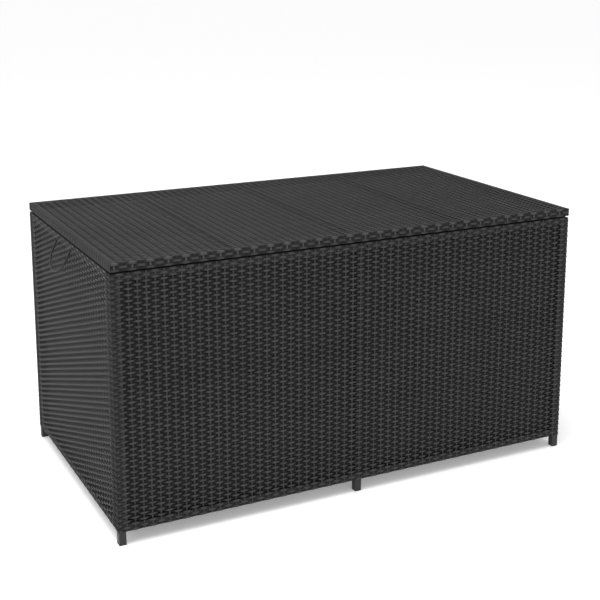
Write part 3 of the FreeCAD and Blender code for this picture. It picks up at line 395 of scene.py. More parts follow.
def cloth_material():
    """Coated liner cloth: a fine plain weave under a thin film."""
    material, tree, shader = nodes_of("liner_cloth")
    coords = add(tree, "ShaderNodeTexCoord").outputs["Object"]
    split = add(tree, "ShaderNodeSeparateXYZ")
    tree.links.new(coords, split.inputs["Vector"])
    flat = math_node(tree, "ADD", split.outputs["X"], split.outputs["Y"])
    warp = math_node(tree, "SINE", math_node(tree, "MULTIPLY", flat, 2 * math.pi / THREAD), 0.0)
    tall = math_node(tree, "SUBTRACT", split.outputs["Z"], split.outputs["Y"])
    weft = math_node(tree, "SINE", math_node(tree, "MULTIPLY", tall, 2 * math.pi / THREAD), 0.0)
    weave = math_node(tree, "MULTIPLY", warp, weft)
    cloud = noise(tree, 4, 5)
    speck = noise(tree, 500, 2)
    value = mixed(tree, cloud, 0.7, speck, 0.3)
    value = math_node(tree, "ADD", value, math_node(tree, "MULTIPLY", weave, 0.05))
    colour = ramp(tree, value, [(0.3, (0.016, 0.016, 0.017)), (0.72, (0.034, 0.034, 0.035))])
    tree.links.new(colour, shader.inputs["Base Color"])
    tree.links.new(ramp(tree, value, [(0.3, 0.62), (0.7, 0.78)]), shader.inputs["Roughness"])
    shader.inputs["Specular IOR Level"].default_value = 0.3
    shader.inputs["Sheen Weight"].default_value = 0.12
    shader.inputs["Sheen Roughness"].default_value = 0.5
    bump(tree, shader, math_node(tree, "ADD", weave, cloud), 0.35, 0.00015)
    return material


def rope_material():
    """Braided polypropylene rope: dark fibres with a little sheen."""
    material, tree, shader = nodes_of("rope")
    fibre = noise(tree, 1.0, 3, stretch=(900, 900, 900))
    cloud = noise(tree, 30, 3)
    value = mixed(tree, fibre, 0.6, cloud, 0.4)
    colour = ramp(tree, value, [(0.3, (0.004, 0.004, 0.004)), (0.72, (0.014, 0.014, 0.014))])
    tree.links.new(colour, shader.inputs["Base Color"])
    tree.links.new(ramp(tree, value, [(0.3, 0.55), (0.7, 0.75)]), shader.inputs["Roughness"])
    shader.inputs["Specular IOR Level"].default_value = 0.3
    shader.inputs["Sheen Weight"].default_value = 0.1
    bump(tree, shader, fibre, 0.5, 0.0002)
    return material


def grey(level, blue=0.0):
    return (level, level, level + blue)


MATERIALS = {
    "woven_strand": strand_material(),
    "liner_cloth": cloth_material(),
    "rope": rope_material(),
    "coated_steel": steel_material("coated_steel", grey(0.011, 0.001), grey(0.02, 0.001), 0.5),
    "cap_plastic": steel_material("cap_plastic", grey(0.009), grey(0.016), 0.55),
    "bumper_rubber": steel_material("bumper_rubber", grey(0.006), grey(0.012), 0.75, spec=0.25),
    "black_hardware": steel_material(
        "black_hardware", grey(0.01, 0.001), grey(0.02, 0.002), 0.38, spec=0.5, grain=800
    ),
    "rod_steel": steel_material(
        "rod_steel", grey(0.5, 0.01), grey(0.66, 0.01), 0.2,
        metallic=1.0, spec=0.5, grain=900, bump_size=0.00004,
    ),
    "zinc_steel": steel_material(
        "zinc_steel", grey(0.36, 0.01), grey(0.52, 0.01), 0.38, metallic=1.0, spec=0.5, grain=700
    ),
}
for row in frame["record"]["subparts"]:
    node = frame["nodes"].get(row.get("node") or row.get("name"))
    if node is None:
        continue
    node.data.materials.clear()
    node.data.materials.append(MATERIALS[row["material_slot"]])


# ---------------------------------------------------------------- woven panels
def wave(at, pitch, first):
    """+1 over an even stake, -1 behind an odd one, crossing quickly between them."""
    turn = np.cos(np.pi * (at - first) / pitch)
    return np.sign(turn) * np.abs(turn) ** 1.2


def standing(sign):
    """How much a strand catches the light: 1 along its crest and 0 in its dip, with a short step between."""
    share = np.clip((sign + 0.22) / 0.85, 0, 1)
    return share * share * (3 - 2 * share)


def pinched(width, proud):
    """A strand turns a little on edge where it dips, so it looks narrower there."""
    return width * (0.64 + 0.36 * np.sqrt(proud))


def samples(low, high, pitch):
    """Points along a strand at each stake and between."""
    return np.linspace(low, high, round((high - low) / pitch * STEPS) + 1)


def depth_along(at, limit, flat, sign, field, shallow):
    """Depth of a weaver below the outer face, where |at| > limit or flat lies over a tube."""
    over = (np.abs(at) > limit) | flat
    mid = np.where(over, FLAT_MID, field[0])
    swing = np.where(over, FLAT_SWING, field[1])
    depth = mid - swing * sign
    return np.where(np.abs(at) < shallow, np.minimum(depth, POST_DEPTH), depth)


def panel_rows(u, heights, limit, sign_of, tail, flat_of, field, shallow=0.0):
    """Lines (u, depth, height) of every row, with the tails that wrap round its ends.

    tail(row) gives the (u, depth) points past the end at +u; the other end mirrors it.
    """
    lines, proud = [], []
    for row, height in enumerate(heights):
        sign = sign_of(row, u)
        depth = depth_along(u, limit, flat_of(height), sign, field, shallow)
        jitter = random.normal(0, 0.00008, len(u))
        end = np.array(tail(row))
        first = np.stack([-end[::-1, 0], end[::-1, 1]], -1)
        flat_line = np.concatenate([first, np.stack([u, depth + jitter], -1), end])
        z = np.full(len(flat_line), height) + random.normal(0, 0.00012)
        lines.append(np.column_stack([flat_line, z]))
        # painted light: crests painted lighter and dips darker through standing(sign); the wraps round the
        # ends get the fixed TURNED levels
        turned = np.full(len(end), TURNED[row % 2])
        proud.append(np.concatenate([turned, standing(sign), turned]))
    return np.array(lines), np.array(proud)


ROW_HEIGHTS = LOW + (np.arange(ROWS) + 0.5) * ROW_PITCH


def over_rail(height):
    return (height > HIGH - TUBE - 2 * SLEEVE) | (height < LOW + TUBE + 2 * SLEEVE)


def post_tail(row):
    """Round a corner post: outer side face, back face and inner face. Depth is measured from the front."""
    low = POST_LOW[row % 2]
    u0, d0 = HALF_X - SLEEVE, SLEEVE
    bend = BEND - low
    points = corner((u0, -d0), 90, -90, bend)
    points += [(HALF_X - FLAT_MID - low, -0.008), (HALF_X - FLAT_MID - low, -0.016)]
    points += corner((u0, -d0 - TUBE), 0, -90, bend)
    points += [(u0 - TUBE / 2, -d0 - TUBE - bend)]
    points += corner((u0 - TUBE, -d0 - TUBE), -90, -90, bend)
    points += [(u0 - TUBE - bend, -0.012)]
    return [(u, -d) for u, d in points]


def stile_tail(row):
    """Round the stile at the end of a side panel."""
    low = STILE_LOW[row % 2]
    u0 = SIDE_Y - SLEEVE
    bend = BEND - low
    points = [(u0 - 0.004, FLAT_MID + low)]
    points += [(u, -d) for u, d in corner((u0, -SLEEVE), 90, -90, bend)]
    points += [(u0 + bend, 0.012)]
    points += [(u, -d) for u, d in corner((u0, -SLEEVE - TUBE), 0, -90, bend)]
    points += [(u0 - TUBE / 2, SLEEVE + TUBE + bend)]
    return points


def stake_signs(height):
    """+1 where the stake at an even place stands out over its row."""
    return -np.cos(np.pi * (height - ROW_HEIGHTS[0]) / ROW_PITCH)


def stake_lines(places, along, low_tail, high_tail, shallow):
    """Lines (place, along, depth) of the stakes, wrapped over the tubes at their two ends."""
    over = over_rail(along)
    lines, proud = [], []
    for index, place in enumerate(places):
        swing = stake_signs(along) * (1 if index % 2 else -1)
        field = LID_MID if abs(place) < shallow else FIELD_MID
        depth = np.where(over, FLAT_MID, field) - np.where(over, FLAT_SWING, STAKE_SWING) * swing
        line = np.concatenate([low_tail, np.stack([along, depth], -1), high_tail])
        lines.append(np.column_stack([np.full(len(line), place) + random.normal(0, 0.00015), line]))
        # painted light: stakes painted lighter where they stand out over a row, with fixed darker levels on
        # their tails under the tubes
        shown = [np.full(len(low_tail), 0.5), 0.62 + standing(swing) * 0.2, np.full(len(high_tail), 0.4)]
        proud.append(np.concatenate(shown))
    return np.array(lines), np.array(proud)


def under_tube(centre, way):
    """Points (along, depth) round the inner corner of a tube whose edge is bent about centre."""
    angles = np.radians([45, 90])
    return [(centre + way * BEND * math.cos(a), SLEEVE + TUBE + BEND * math.sin(a)) for a in angles]


def end_tail(edge, way):
    """Points (along, depth) of a stake that turns round a tube at edge, where way is +1 at the high end."""
    centre = edge - way * SLEEVE
    angles = np.radians([0, 45, 90])
    points = [(centre + way * BEND * math.sin(a), SLEEVE - BEND * math.cos(a)) for a in angles]
    points += [(centre + way * BEND, SLEEVE + TUBE / 2), (centre + way * BEND, SLEEVE + TUBE)]
    points += under_tube(centre, way)
    points += [(centre - way * TAIL, SLEEVE + TUBE + BEND)]
    points = np.array(points)
    return points if way > 0 else points[::-1]


def to_world(face, local):
    """(u, depth, height) arrays in panel terms to the box's frame; on the lid height runs to the back."""
    u, d, z = local[..., 0], local[..., 1], local[..., 2]
    if face == "front":
        return np.stack([u, -HALF_Y + d, z], -1)
    if face == "back":
        return np.stack([u, HALF_Y - d, z], -1)
    if face == "left":
        return np.stack([-HALF_X + d, u, z], -1)
    if face == "right":
        return np.stack([HALF_X - d, u, z], -1)
    return np.stack([u, z, LID_TOP - d], -1)


OUTWARD = {"front": (0, -1, 0), "back": (0, 1, 0), "left": (-1, 0, 0), "right": (1, 0, 0)}


def body_panel(face):
    """One woven panel of the box: weavers, stakes, and the strand wrapped over its rail and sill."""
    wide = face in ("front", "back")
    half = HALF_X if wide else SIDE_Y
    pitch = STAKE_PITCH if wide else SIDE_PITCH
    stakes = np.arange(1, STAKES if wide else SIDE_STAKES) * pitch - half
    reach = float(stakes[-1]) + pitch * (0.75 if wide else 0.5)
    limit = half - TUBE - SLEEVE
    shallow = POST_REACH if wide else 0.0
    tail = post_tail if wide else stile_tail
    u = samples(-reach, reach, pitch)

    def sign_of(row, at):
        return wave(at, pitch, -half) * (1 if row % 2 == 0 else -1)

    field = (FIELD_MID, FIELD_SWING)
    rows, proud = panel_rows(u, ROW_HEIGHTS, limit + 0.001, sign_of, tail, over_rail, field, shallow)
    # painted light on the two ends: brighter crests and darker dips (painted highlight and painted shade)
    if not wide:
        proud = proud * SIDE_LIGHT - SIDE_DARK
    lines = to_world(face, rows)
    width = STRAND + random.normal(0, 0.0001, (ROWS, 1))
    thick = np.where(over_rail(ROW_HEIGHTS), FLAT_THICK, STRAND_THICK)[:, None] * np.ones(len(lines[0]))
    tails = len(tail(0))
    thick[:, :tails] = thick[:, -tails:] = FLAT_THICK
    width = pinched(width, np.clip(proud, 0, 1))
    for parity, end_width in enumerate(POST_WIDTHS if wide else STILE_WIDTHS):
        width[parity::2, :tails] = width[parity::2, -tails:] = end_width
    up, out = (0, 0, 1), OUTWARD[face]
    parts = {f"{face}_weavers": slice(0, ROWS)}
    if wide:
        half_way = ROWS // 2
        parts = {f"{face}_weavers_lower": slice(0, half_way), f"{face}_weavers_upper": slice(half_way, ROWS)}
    for name, part in parts.items():
        strands(name, [(lines[part], up, out, width[part], thick[part], proud[part])], "box")

    heights = np.arange(ROWS * 2 - 1) * ROW_PITCH / 2 + ROW_HEIGHTS[0]
    low_tail, high_tail = end_tail(LOW, -1), end_tail(HIGH, 1)
    local, stake_proud = stake_lines(stakes, heights, low_tail, high_tail, shallow)
    side = (1, 0, 0) if wide else (0, 1, 0)
    stake_thick = np.where(over_rail(heights), FLAT_THICK, STAKE_THICK)
    stake_thick = np.pad(stake_thick, (len(low_tail), len(high_tail)), constant_values=FLAT_THICK)
    stake_thick = np.tile(stake_thick, (len(stakes), 1))
    stake_thick[np.abs(stakes) < shallow] = np.minimum(stake_thick[0], LID_STAKE_THICK)
    groups = [(to_world(face, local[..., [0, 2, 1]]), side, out, STAKE, stake_thick, stake_proud)]
    wrap_limit = limit - 0.002 if wide else SIDE_Y - 0.004
    groups += edge_wraps(face, stakes, pitch, wrap_limit, side)
    strands(f"{face}_stakes", groups, "box", f"{face}_weave", f"{face}_wrap")


def edge_wraps(face, stakes, pitch, limit, side):
    """Strand laid over the top rail and under the sill, between the stakes."""
    places = [s + pitch * k / 3 for s in np.concatenate([[stakes[0] - pitch], stakes]) for k in (1, 2)]
    places = [p for p in places if abs(p) < limit]
    groups = []
    for edge, way in ((LOW, -1), (HIGH, 1)):
        centre = edge - way * SLEEVE
        outer = centre + way * BEND * 0.95
        line = [(centre + way * BEND * 0.6, SLEEVE * 0.85), (outer, SLEEVE + 0.002)]
        line += [(outer, SLEEVE + TUBE / 2), (outer, SLEEVE + TUBE)]
        line += under_tube(centre, way)
        line += [(centre - way * 0.006, SLEEVE + TUBE + BEND), (centre - way * 0.014, SLEEVE + TUBE + BEND)]
        local = np.array([[(p + random.normal(0, 0.0001), z, d) for z, d in line] for p in places])
        lines = to_world(face, local[..., [0, 2, 1]])
        groups.append((lines, side, (0, 0, way), pitch / 3 * 0.95, FLAT_THICK, 0.5))
    return groups


for panel in ("front", "back", "left", "right"):
    body_panel(panel)


# ---------------------------------------------------------------- woven lid
LID_STAKES = STAKE_PITCH * (np.arange(STAKES) - (STAKES - 1) / 2)


def lid_weavers():
    """Rows across the lid, wrapped round its side tubes."""
    places = -HALF_Y + (np.arange(LID_ROWS) + 0.5) * LID_ROW_PITCH
    u = samples(-float(LID_STAKES[-1]), float(LID_STAKES[-1]), STAKE_PITCH)
    bend_x = HALF_X - SLEEVE
    end = [(bend_x - 0.004, FLAT_MID)]
    end += [(x, -d) for x, d in corner((bend_x, -SLEEVE), 90, -90)]
    end += [(bend_x + BEND, 0.012)]
    end += [(x, -d) for x, d in corner((bend_x, -SLEEVE - TUBE), 0, -90)]
    end += [(bend_x - TUBE / 2, SLEEVE + TUBE + BEND), (bend_x - TUBE, SLEEVE + TUBE + BEND)]

    def sign_of(row, at):
        return np.cos(np.pi * (at - LID_STAKES[0]) / STAKE_PITCH) * (1 if row % 2 == 0 else -1)

    def over_rim(y):
        return np.abs(y) > LIMIT_Y

    rows, proud = panel_rows(u, places, LIMIT_X, sign_of, lambda row: end, over_rim, (LID_MID, LID_SWING))
    lines = to_world("lid", rows)
    thick = np.where(over_rim(places), FLAT_THICK, STRAND_THICK)[:, None] * np.ones(len(lines[0]))
    tails = len(end)
    thick[:, (np.abs(lines[0, :, 0]) > LIMIT_X) | (np.arange(len(lines[0])) < tails)] = FLAT_THICK
    width = pinched(LID_STRAND, proud)
    for parity, end_width in enumerate(LID_END_WIDTHS):
        width[parity::2, :tails] = width[parity::2, -tails:] = end_width
    proud[::2, :tails] = proud[::2, -tails:] = LID_END_PROUD
    half = LID_ROWS // 2
    for name, part in (("front", slice(0, half)), ("back", slice(half, LID_ROWS))):
        group = (lines[part], (0, 1, 0), (0, 0, 1), width[part], thick[part], proud[part])
        strands(f"lid_weavers_{name}", [group], "lid")


def lid_stakes():
    """Stakes from rim to rim over the lid and under its tubes, with the rows woven along the rims."""
    along = (np.arange(LID_ROWS * 2 - 1) / 2 + 0.5) * LID_ROW_PITCH - HALF_Y
    bend_y = HALF_Y - SLEEVE
    rim_z = np.linspace(LID_TOP - SLEEVE, LID_LOW + SLEEVE, 7)
    lower = LID_LOW + SLEEVE
    lines, prouds = [], []
    for index, place in enumerate(LID_STAKES):
        way = 1 if index % 2 else -1
        over = (np.abs(along) > LIMIT_Y) | (abs(place) > LIMIT_X)
        swing = -np.cos(np.pi * (along - along[0]) / LID_ROW_PITCH) * way
        depth = np.where(over, FLAT_MID, LID_MID) - np.where(over, FLAT_SWING, STAKE_SWING) * swing
        turn = np.radians([30, 60, 90])
        tail = [(bend_y + BEND * math.sin(a), LID_TOP - SLEEVE + BEND * math.cos(a)) for a in turn[:2]]
        rim_swing = np.cos(2 * np.pi * np.arange(7) / 6) * way
        tail += [(HALF_Y - FLAT_MID + FLAT_SWING * s, z) for z, s in zip(rim_z, rim_swing)]
        tail += [(bend_y + BEND * math.cos(a), lower - BEND * math.sin(a)) for a in turn]
        tail += [(bend_y - TUBE / 2, lower - BEND), (bend_y - TUBE, lower - BEND)]
        line = [(-y, z) for y, z in tail[::-1]] + [(y, LID_TOP - d) for y, d in zip(along, depth)] + tail
        lines.append([(place, y, z) for y, z in line])
        # painted light: on the rims even stakes are painted bright and odd ones dark, under the tubes a darker
        # level as painted shade, and over the lid the crests are painted lighter
        rim_proud = [0.6] * 2 + list(standing(rim_swing) * (0.2 if index % 2 else 1.5)) + [0.4] * 5
        prouds.append(rim_proud[::-1] + list(0.5 + standing(swing) * 0.25) + rim_proud)
    lines = np.array(lines)
    flat = (np.abs(lines[..., 1]) > LIMIT_Y) | (np.abs(lines[..., 0]) > LIMIT_X)
    thick = np.where(flat, FLAT_THICK, LID_STAKE_THICK)
    groups = [(lines, (1, 0, 0), (0, 0, 1), STAKE, thick, np.array(prouds))]

    # three rows woven along the front and the back rim
    reach = HALF_X - 0.0016
    x = np.linspace(-reach, reach, STAKES * STEPS + 1)
    for way in (-1, 1):
        rims, prouds = [], []
        for row, rim_crest_light in enumerate(RIM_LIGHT):
            sign = np.cos(np.pi * (x - LID_STAKES[0]) / STAKE_PITCH) * (-1 if row % 2 else 1)
            z = LID_TOP - SLEEVE - RIM_FIRST - row * RIM_PITCH
            y = way * (HALF_Y - FLAT_MID + FLAT_SWING * sign)
            rims.append(np.column_stack([x, y, np.full(len(x), z)]))
            # painted light: each rim row's crests painted lighter and its dips darker, scaled row by row
            # (painted highlight and painted shade)
            prouds.append(standing(sign) * rim_crest_light)
        groups.append((np.array(rims), (0, 0, 1), (0, way, 0), RIM_STRAND, FLAT_THICK, np.array(prouds)))

    # strand that closes the underside of the front and back rims between the stakes
    fill = [s + STAKE_PITCH * k / 3 for s in LID_STAKES[:-1] for k in (1, 2)]
    for way in (-1, 1):
        under = [(bend_y + 0.0002, lower - BEND * 0.9)]
        under += [(bend_y - TUBE / 2, lower - BEND), (bend_y - TUBE, lower - BEND)]
        wraps = np.array([[(p, way * y, z) for y, z in under] for p in fill])
        groups.append((wraps, (1, 0, 0), (0, 0, -1), STAKE_PITCH / 3 * 0.95, FLAT_THICK, 0.4))
    strands("lid_stakes", groups, "lid", "lid_weave", "lid_wrap")


lid_weavers()
lid_stakes()


# ---------------------------------------------------------------- liner cloth
CLOTH = 0.0012  # thickness
HEM = 0.0022  # how far the lid's lining reaches past its CAD sheet, to the inner faces of the tubes
STUD_PITCH = BAR_PITCH = 0.245
BAR_SLOT = 0.0108  # half the slot in a wall's skirt that a floor bar passes through
NOTCH_X, NOTCH_FRONT, NOTCH_BACK = 0.7024, 0.2039, 0.2351  # round the gas struts' lid brackets
liner_lo, liner_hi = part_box("liner_front")
floor_lo, floor_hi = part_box("liner_floor")
lid_cloth_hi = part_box("lid_liner")[1]


def cloth(name, u, v, place, sag, body, node, keep=None):
    """A closed thin sheet over the grid u × v.

    place(u, v, offset) gives the point, sag(u, v) how far it bulges, and keep(u, v) where there is cloth.
    """
    uu, vv = np.meshgrid(u, v, indexing="ij")
    bulge = sag(uu, vv)
    points = np.concatenate([place(uu, vv, offset).reshape(-1, 3) for offset in (bulge, bulge + CLOTH)])
    far = uu.size
    index = np.arange(far).reshape(uu.shape)
    quads = np.stack([index[:-1, :-1], index[1:, :-1], index[1:, 1:], index[:-1, 1:]], -1)
    if keep is not None:
        quads = quads[keep((uu[:-1, :-1] + uu[1:, 1:]) / 2, (vv[:-1, :-1] + vv[1:, 1:]) / 2)]
    quads = quads.reshape(-1, 4)
    edges = {}
    for quad in quads.tolist():
        for p, q in zip(quad, quad[1:] + quad[:1]):
            if (q, p) in edges:
                del edges[(q, p)]
            else:
                edges[(p, q)] = True
    rim = [(q, p, p + far, q + far) for p, q in edges]
    used, faces = np.unique(np.concatenate([quads, quads[:, ::-1] + far, rim]), return_inverse=True)
    mesh = closed_mesh(name, points[used], faces.reshape(-1, 4).tolist())
    piece = add_piece(name, mesh, "liner_cloth", body, node)


def hanging(first, top, bottom):
    """Soft folds that hang from studs at first + n·pitch and die out towards the floor."""

    def sag(u, v):
        down = np.clip((top - v) / (top - bottom), 0, 1)
        between = (1 - np.cos(2 * np.pi * (u - first) / STUD_PITCH)) / 2
        folds = 0.0024 * between * np.exp(-2.4 * down) * np.clip(down * 30, 0, 1)
        ripple = 0.0009 * (1 + np.sin(u * 21 + v * 7) * np.sin(v * 11 - u * 5 + 1)) * np.clip(down * 9, 0, 1)
        low = np.clip((down - 0.9) * 10, 0, 1)
        return (folds + ripple) * (1 - low)

    return sag


def liner_walls():
    """Four walls that hang from the press studs; their skirts reach below the floor bars."""
    top, bottom = float(liner_hi[2]), float(liner_lo[2])
    wide, outer = float(liner_hi[0]), float(-liner_lo[1])
    skirt = LOW + TUBE * 0.4
    z = np.concatenate([[skirt], np.linspace(bottom, top, 56)])
    slots = [BAR_PITCH * n + s * BAR_SLOT for n in (-2.5, -1.5, -0.5, 0.5, 1.5, 2.5) for s in (-1, 1)]
    x = np.unique(np.concatenate([np.linspace(-wide, wide, 176), slots]))

    def clear_of_bars(u, v):
        beside = np.abs((u / BAR_PITCH) % 1 - 0.5) * BAR_PITCH > BAR_SLOT - 0.0001
        return beside | (v > bottom)

    for way, name in ((-1, "front"), (1, "back")):
        cloth(
            f"liner_cloth_{name}", x, z,
            lambda u, v, d, way=way: np.stack([u, way * (outer - d), v], -1), hanging(0, top, bottom),
            "box", f"liner_{name}", clear_of_bars,
        )
    left_lo, left_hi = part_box("liner_left")
    side_y, side_x = float(left_hi[1]), float(-left_lo[0])
    y = np.linspace(-side_y, side_y, 96)
    for way, name in ((-1, "left"), (1, "right")):
        cloth(
            f"liner_cloth_{name}", y, z,
            lambda u, v, d, way=way: np.stack([way * (side_x - d), u, v], -1),
            hanging(STUD_PITCH * 0.5, top, bottom),
            "box", f"liner_{name}",
        )


def liner_floor():
    """The floor, slack between the bars it lies on."""
    half_x, half_y, base = float(floor_hi[0]), float(floor_hi[1]), float(floor_lo[2])

    def rucks(u, v):
        bars = (1 - np.cos(2 * np.pi * (u - BAR_PITCH / 2) / BAR_PITCH)) / 2
        edge = np.clip(np.minimum(half_x - np.abs(u), half_y - np.abs(v)) / 0.05, 0, 1)
        return 0.0012 * edge * (0.6 * (1 - bars) + 0.5 * (1 + np.sin(u * 13 + v * 9) * np.sin(v * 17 - u * 4)))

    cloth(
        "liner_cloth_floor", np.linspace(-half_x, half_x, 120), np.linspace(-half_y, half_y, 68),
        lambda u, v, d: np.stack([u, v, base + d], -1), rucks,
        "box", "liner_floor",
    )


def lid_lining():
    """The lining under the lid, cut out round the brackets of the gas struts."""
    half_x, half_y = float(lid_cloth_hi[0]) + HEM, float(lid_cloth_hi[1]) + HEM
    upper = float(lid_cloth_hi[2])
    x = np.unique(np.concatenate([np.linspace(-half_x, half_x, 120), [-NOTCH_X, NOTCH_X]]))
    y = np.unique(np.concatenate([np.linspace(-half_y, half_y, 68), [NOTCH_FRONT, NOTCH_BACK]]))

    def taut(u, v):
        edge = np.clip(np.minimum(half_x - np.abs(u), half_y - np.abs(v)) / 0.06, 0, 1)
        return -0.0008 * edge * (1 + np.sin(u * 9 + 2) * np.sin(v * 12))

    cloth(
        "lid_liner_cloth", x, y,
        lambda u, v, d: np.stack([u, v, upper - CLOTH + d], -1), taut,
        "lid", "lid_liner",
        keep=lambda u, v: ~((np.abs(u) > NOTCH_X) & (v > NOTCH_FRONT) & (v < NOTCH_BACK)),
    )


liner_walls()
liner_floor()
lid_lining()


# ---------------------------------------------------------------- rope handles
ROPE_ROUTE = [
    (2.8, -70), (20, -71), (38, -69), (56, -61), (72, -44), (83, -17),
    (83.5, 14), (76, 42), (60, 61), (41, 71), (22, 72), (2.8, 70),
]  # millimetres out from the side and along it, before the loop is tilted down
ROPE_DIAMETER = 0.005
ROPE_TILT = math.radians(65)
BEND_X, ROPE_Z = 0.738, 0.744
HOLE_Y = 0.070
STUB_RADIUS = 0.0024  # the rope where it passes through its hole
KNOT_INSET = 0.007  # from the anchor's inner end to the middle of the knot
KNOT_RADIUS = 0.0023  # the rope where it is knotted
KNOT_DEPTH, KNOT_LOOP = 0.0022, 0.00155
BRAID_SIDES = 20
BRAID_STEP = 0.0009
BRAID_LAY = 5.2  # length of one turn of a braid's strands, in radii of the rope


def braid(path, radius):
    """A braided tube along the points of path: its points, its faces and its middle line."""
    path = np.array(path, float)
    along = np.concatenate([[0], np.cumsum(np.linalg.norm(np.diff(path, axis=0), axis=1))])
    count = max(8, int(along[-1] / BRAID_STEP))
    at = np.linspace(0, along[-1], count)
    line = np.stack([np.interp(at, along, path[:, k]) for k in range(3)], -1)
    for _ in range(3):
        line[1:-1] = (line[:-2] + 2 * line[1:-1] + line[2:]) / 4
    tangent = unit(np.gradient(line, axis=0))
    aside = (0.0, 0.0, 1.0) if abs(tangent[0][2]) < 0.9 else (0.0, 1.0, 0.0)
    normal = [unit(np.cross(tangent[0], aside))]
    for t in tangent[1:]:
        normal.append(unit(normal[-1] - t * (normal[-1] @ t)))
    normal = np.array(normal)[:, None]
    other = np.cross(tangent, normal[:, 0])[:, None]
    angle = 2 * np.pi * np.arange(BRAID_SIDES) / BRAID_SIDES
    twist = 2 * np.pi * at / (radius * BRAID_LAY)
    one = np.cos(4 * angle[None] + twist[:, None])
    two = np.cos(4 * angle[None] - twist[:, None])
    size = radius * (0.93 + 0.07 * np.maximum(one, two))
    ease = np.clip(np.minimum(at, at[-1] - at) / (radius * 0.8), 0.02, 1)
    size *= np.sqrt(ease * (2 - ease))[:, None]
    ring = np.cos(angle)[None, :, None] * normal + np.sin(angle)[None, :, None] * other
    points = line[:, None] + size[..., None] * ring
    index = np.arange(count * BRAID_SIDES).reshape(count, BRAID_SIDES)
    after = np.roll(index, -1, axis=1)
    faces = np.stack([index[:-1], after[:-1], after[1:], index[1:]], -1).reshape(-1, 4).tolist()
    faces += [index[0][::-1].tolist(), index[-1].tolist()]
    return points.reshape(-1, 3), faces, line


def rope_piece(name, braids, body, replaced):
    """One piece from the points and faces of several braids."""
    points, faces, start = [], [], 0
    for braid_points, braid_faces, _ in braids:
        points.append(braid_points)
        faces += [[i + start for i in face] for face in braid_faces]
        start += len(braid_points)
    return add_piece(name, closed_mesh(name, np.concatenate(points), faces), "rope", body, replaced)


def rope_route(sign):
    """Points of a smooth curve that leads the rope out of one hole, down and back into the other."""
    points = []
    for out, along in ROPE_ROUTE:
        x = (BEND_X + out / 1000 * math.cos(ROPE_TILT)) * sign
        points.append((x, along / 1000, ROPE_Z - out / 1000 * math.sin(ROPE_TILT)))
    curve = bpy.data.curves.new("route", "CURVE")
    curve.dimensions = "3D"
    spline = curve.splines.new("NURBS")
    spline.points.add(len(points) - 1)
    for spot, point in zip(spline.points, points):
        spot.co = (*point, 1)
    spline.order_u = 3
    spline.use_endpoint_u = True
    curve.resolution_u = 16
    holder = bpy.data.objects.new("route", curve)
    bare = bpy.data.meshes.new_from_object(holder)
    route = [tuple(v.co) for v in bare.vertices]
    bpy.data.meshes.remove(bare)
    bpy.data.objects.remove(holder)
    bpy.data.curves.remove(curve)
    return route


def handle(hand, sign):
    """A rope loop that swings, and its two knotted ends that stay with the box."""
    loop_braid = braid(rope_route(sign), ROPE_DIAMETER / 2)
    loop = rope_piece(f"rope_loop_{hand}", [loop_braid], f"handle_body_{hand}", f"handle_rope_{hand}")

    lo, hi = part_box(f"handle_anchor_{hand}")
    knot_x = min(abs(lo[0]), abs(hi[0])) + KNOT_INSET
    turn = np.linspace(0, 2 * np.pi, 72)
    knot = np.stack([
        np.cos(3 * turn) * KNOT_DEPTH,
        (np.sin(turn) + 2 * np.sin(2 * turn)) * KNOT_LOOP,
        (np.cos(turn) - 2 * np.cos(2 * turn)) * KNOT_LOOP,
    ], -1)
    ends = []
    for y in (-HOLE_Y, HOLE_Y):
        stub = [(sign * x, y, ROPE_Z) for x in np.linspace(knot_x, BEND_X + 0.0006, 24)]
        ends.append(braid(stub, STUB_RADIUS))
        ends.append(braid(knot + np.array([sign * knot_x, y, ROPE_Z]), KNOT_RADIUS))
    rope_piece(f"rope_ends_{hand}", ends, "box", f"handle_anchor_{hand}")


handle("left", -1)
handle("right", 1)

# ---------------------------------------------------------------- camera, light and floor
scene = bpy.context.scene
WIDTH = 2 * HALF_X
AZIMUTH, ELEVATION, DISTANCE = math.radians(-26.59), math.radians(12.01), 2.495
FOCUS = Vector((0.0094, 0, 0.5435)) * WIDTH
SENSOR, FRAME_PX = 36.0, 600
FOCAL_PX, CENTRE_PX = 1175.3, 200
level = math.cos(ELEVATION)
back = Vector((math.sin(AZIMUTH) * level, -math.cos(AZIMUTH) * level, math.sin(ELEVATION)))
camera_data = bpy.data.cameras.new("camera")
camera = bpy.data.objects.new("camera", camera_data)
scene.collection.objects.link(camera)
camera.location = FOCUS + back * DISTANCE * WIDTH
camera.rotation_euler = back.to_track_quat("Z", "Y").to_euler()
camera_data.sensor_width = SENSOR
camera_data.lens = FOCAL_PX * SENSOR / FRAME_PX
camera_data.shift_y = (CENTRE_PX - FRAME_PX / 2) / FRAME_PX
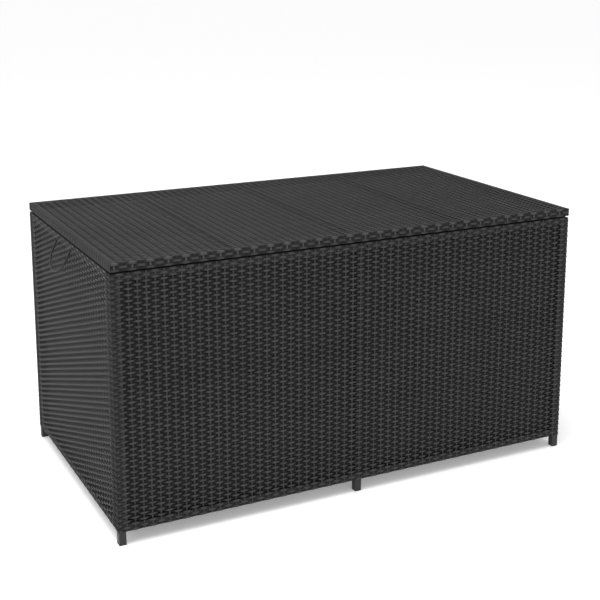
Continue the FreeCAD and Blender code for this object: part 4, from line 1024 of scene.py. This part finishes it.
camera_data.clip_end = 100
scene.camera = camera

scene.view_settings.view_transform = "Standard"
world = bpy.data.worlds.new("studio")
scene.world = world
world.use_nodes = True
sky = world.node_tree
heading = add(sky, "ShaderNodeTexCoord").outputs["Generated"]
parts = add(sky, "ShaderNodeSeparateXYZ")
sky.links.new(heading, parts.inputs["Vector"])
share = math_node(sky, "ADD", math_node(sky, "MULTIPLY", parts.outputs["X"], 0.5), 0.5)
light = ramp(sky, share, [(0.05, 0.08), (0.3, 0.42), (0.5, 0.84), (0.6, 0.74), (0.85, 0.12)])
light = math_node(sky, "ADD", light, math_node(sky, "MULTIPLY", parts.outputs["Z"], 0.45))
light = math_node(sky, "MAXIMUM", light, 0.25)
sky.nodes["Background"].inputs["Color"].default_value = (1, 1, 1, 1)
sky.links.new(light, sky.nodes["Background"].inputs["Strength"])


def softbox(name, place, aim, size, power):
    data = bpy.data.lights.new(name, "AREA")
    data.shape = "RECTANGLE"
    data.size, data.size_y = size
    data.energy = power
    light = bpy.data.objects.new(name, data)
    light.location = place
    light.rotation_euler = (Vector(place) - Vector(aim)).to_track_quat("Z", "Y").to_euler()
    scene.collection.objects.link(light)


softbox("key_left", (-4.2, -1.2, 3.0), (0, 0, 0.4), (2.0, 2.0), 40)
softbox("top", (-1.0, -0.5, 4.6), (0, 0, 0), (3.6, 3.6), 162)

floor_mesh = bpy.data.meshes.new("floor")
floor_mesh.from_pydata([(-40, -40, 0), (40, -40, 0), (40, 40, 0), (-40, 40, 0)], [], [(0, 1, 2, 3)])
floor = bpy.data.objects.new("floor", floor_mesh)
scene.collection.objects.link(floor)
floor_material, floor_tree, floor_shader = nodes_of("floor")
floor_shader.inputs["Base Color"].default_value = (0.92, 0.92, 0.92, 1)
floor_shader.inputs["Roughness"].default_value = 0.9
floor_shader.inputs["Specular IOR Level"].default_value = 0.1
floor_shader.inputs["Emission Color"].default_value = (1, 1, 1, 1)
floor_shader.inputs["Emission Strength"].default_value = 0.28
floor_mesh.materials.append(floor_material)
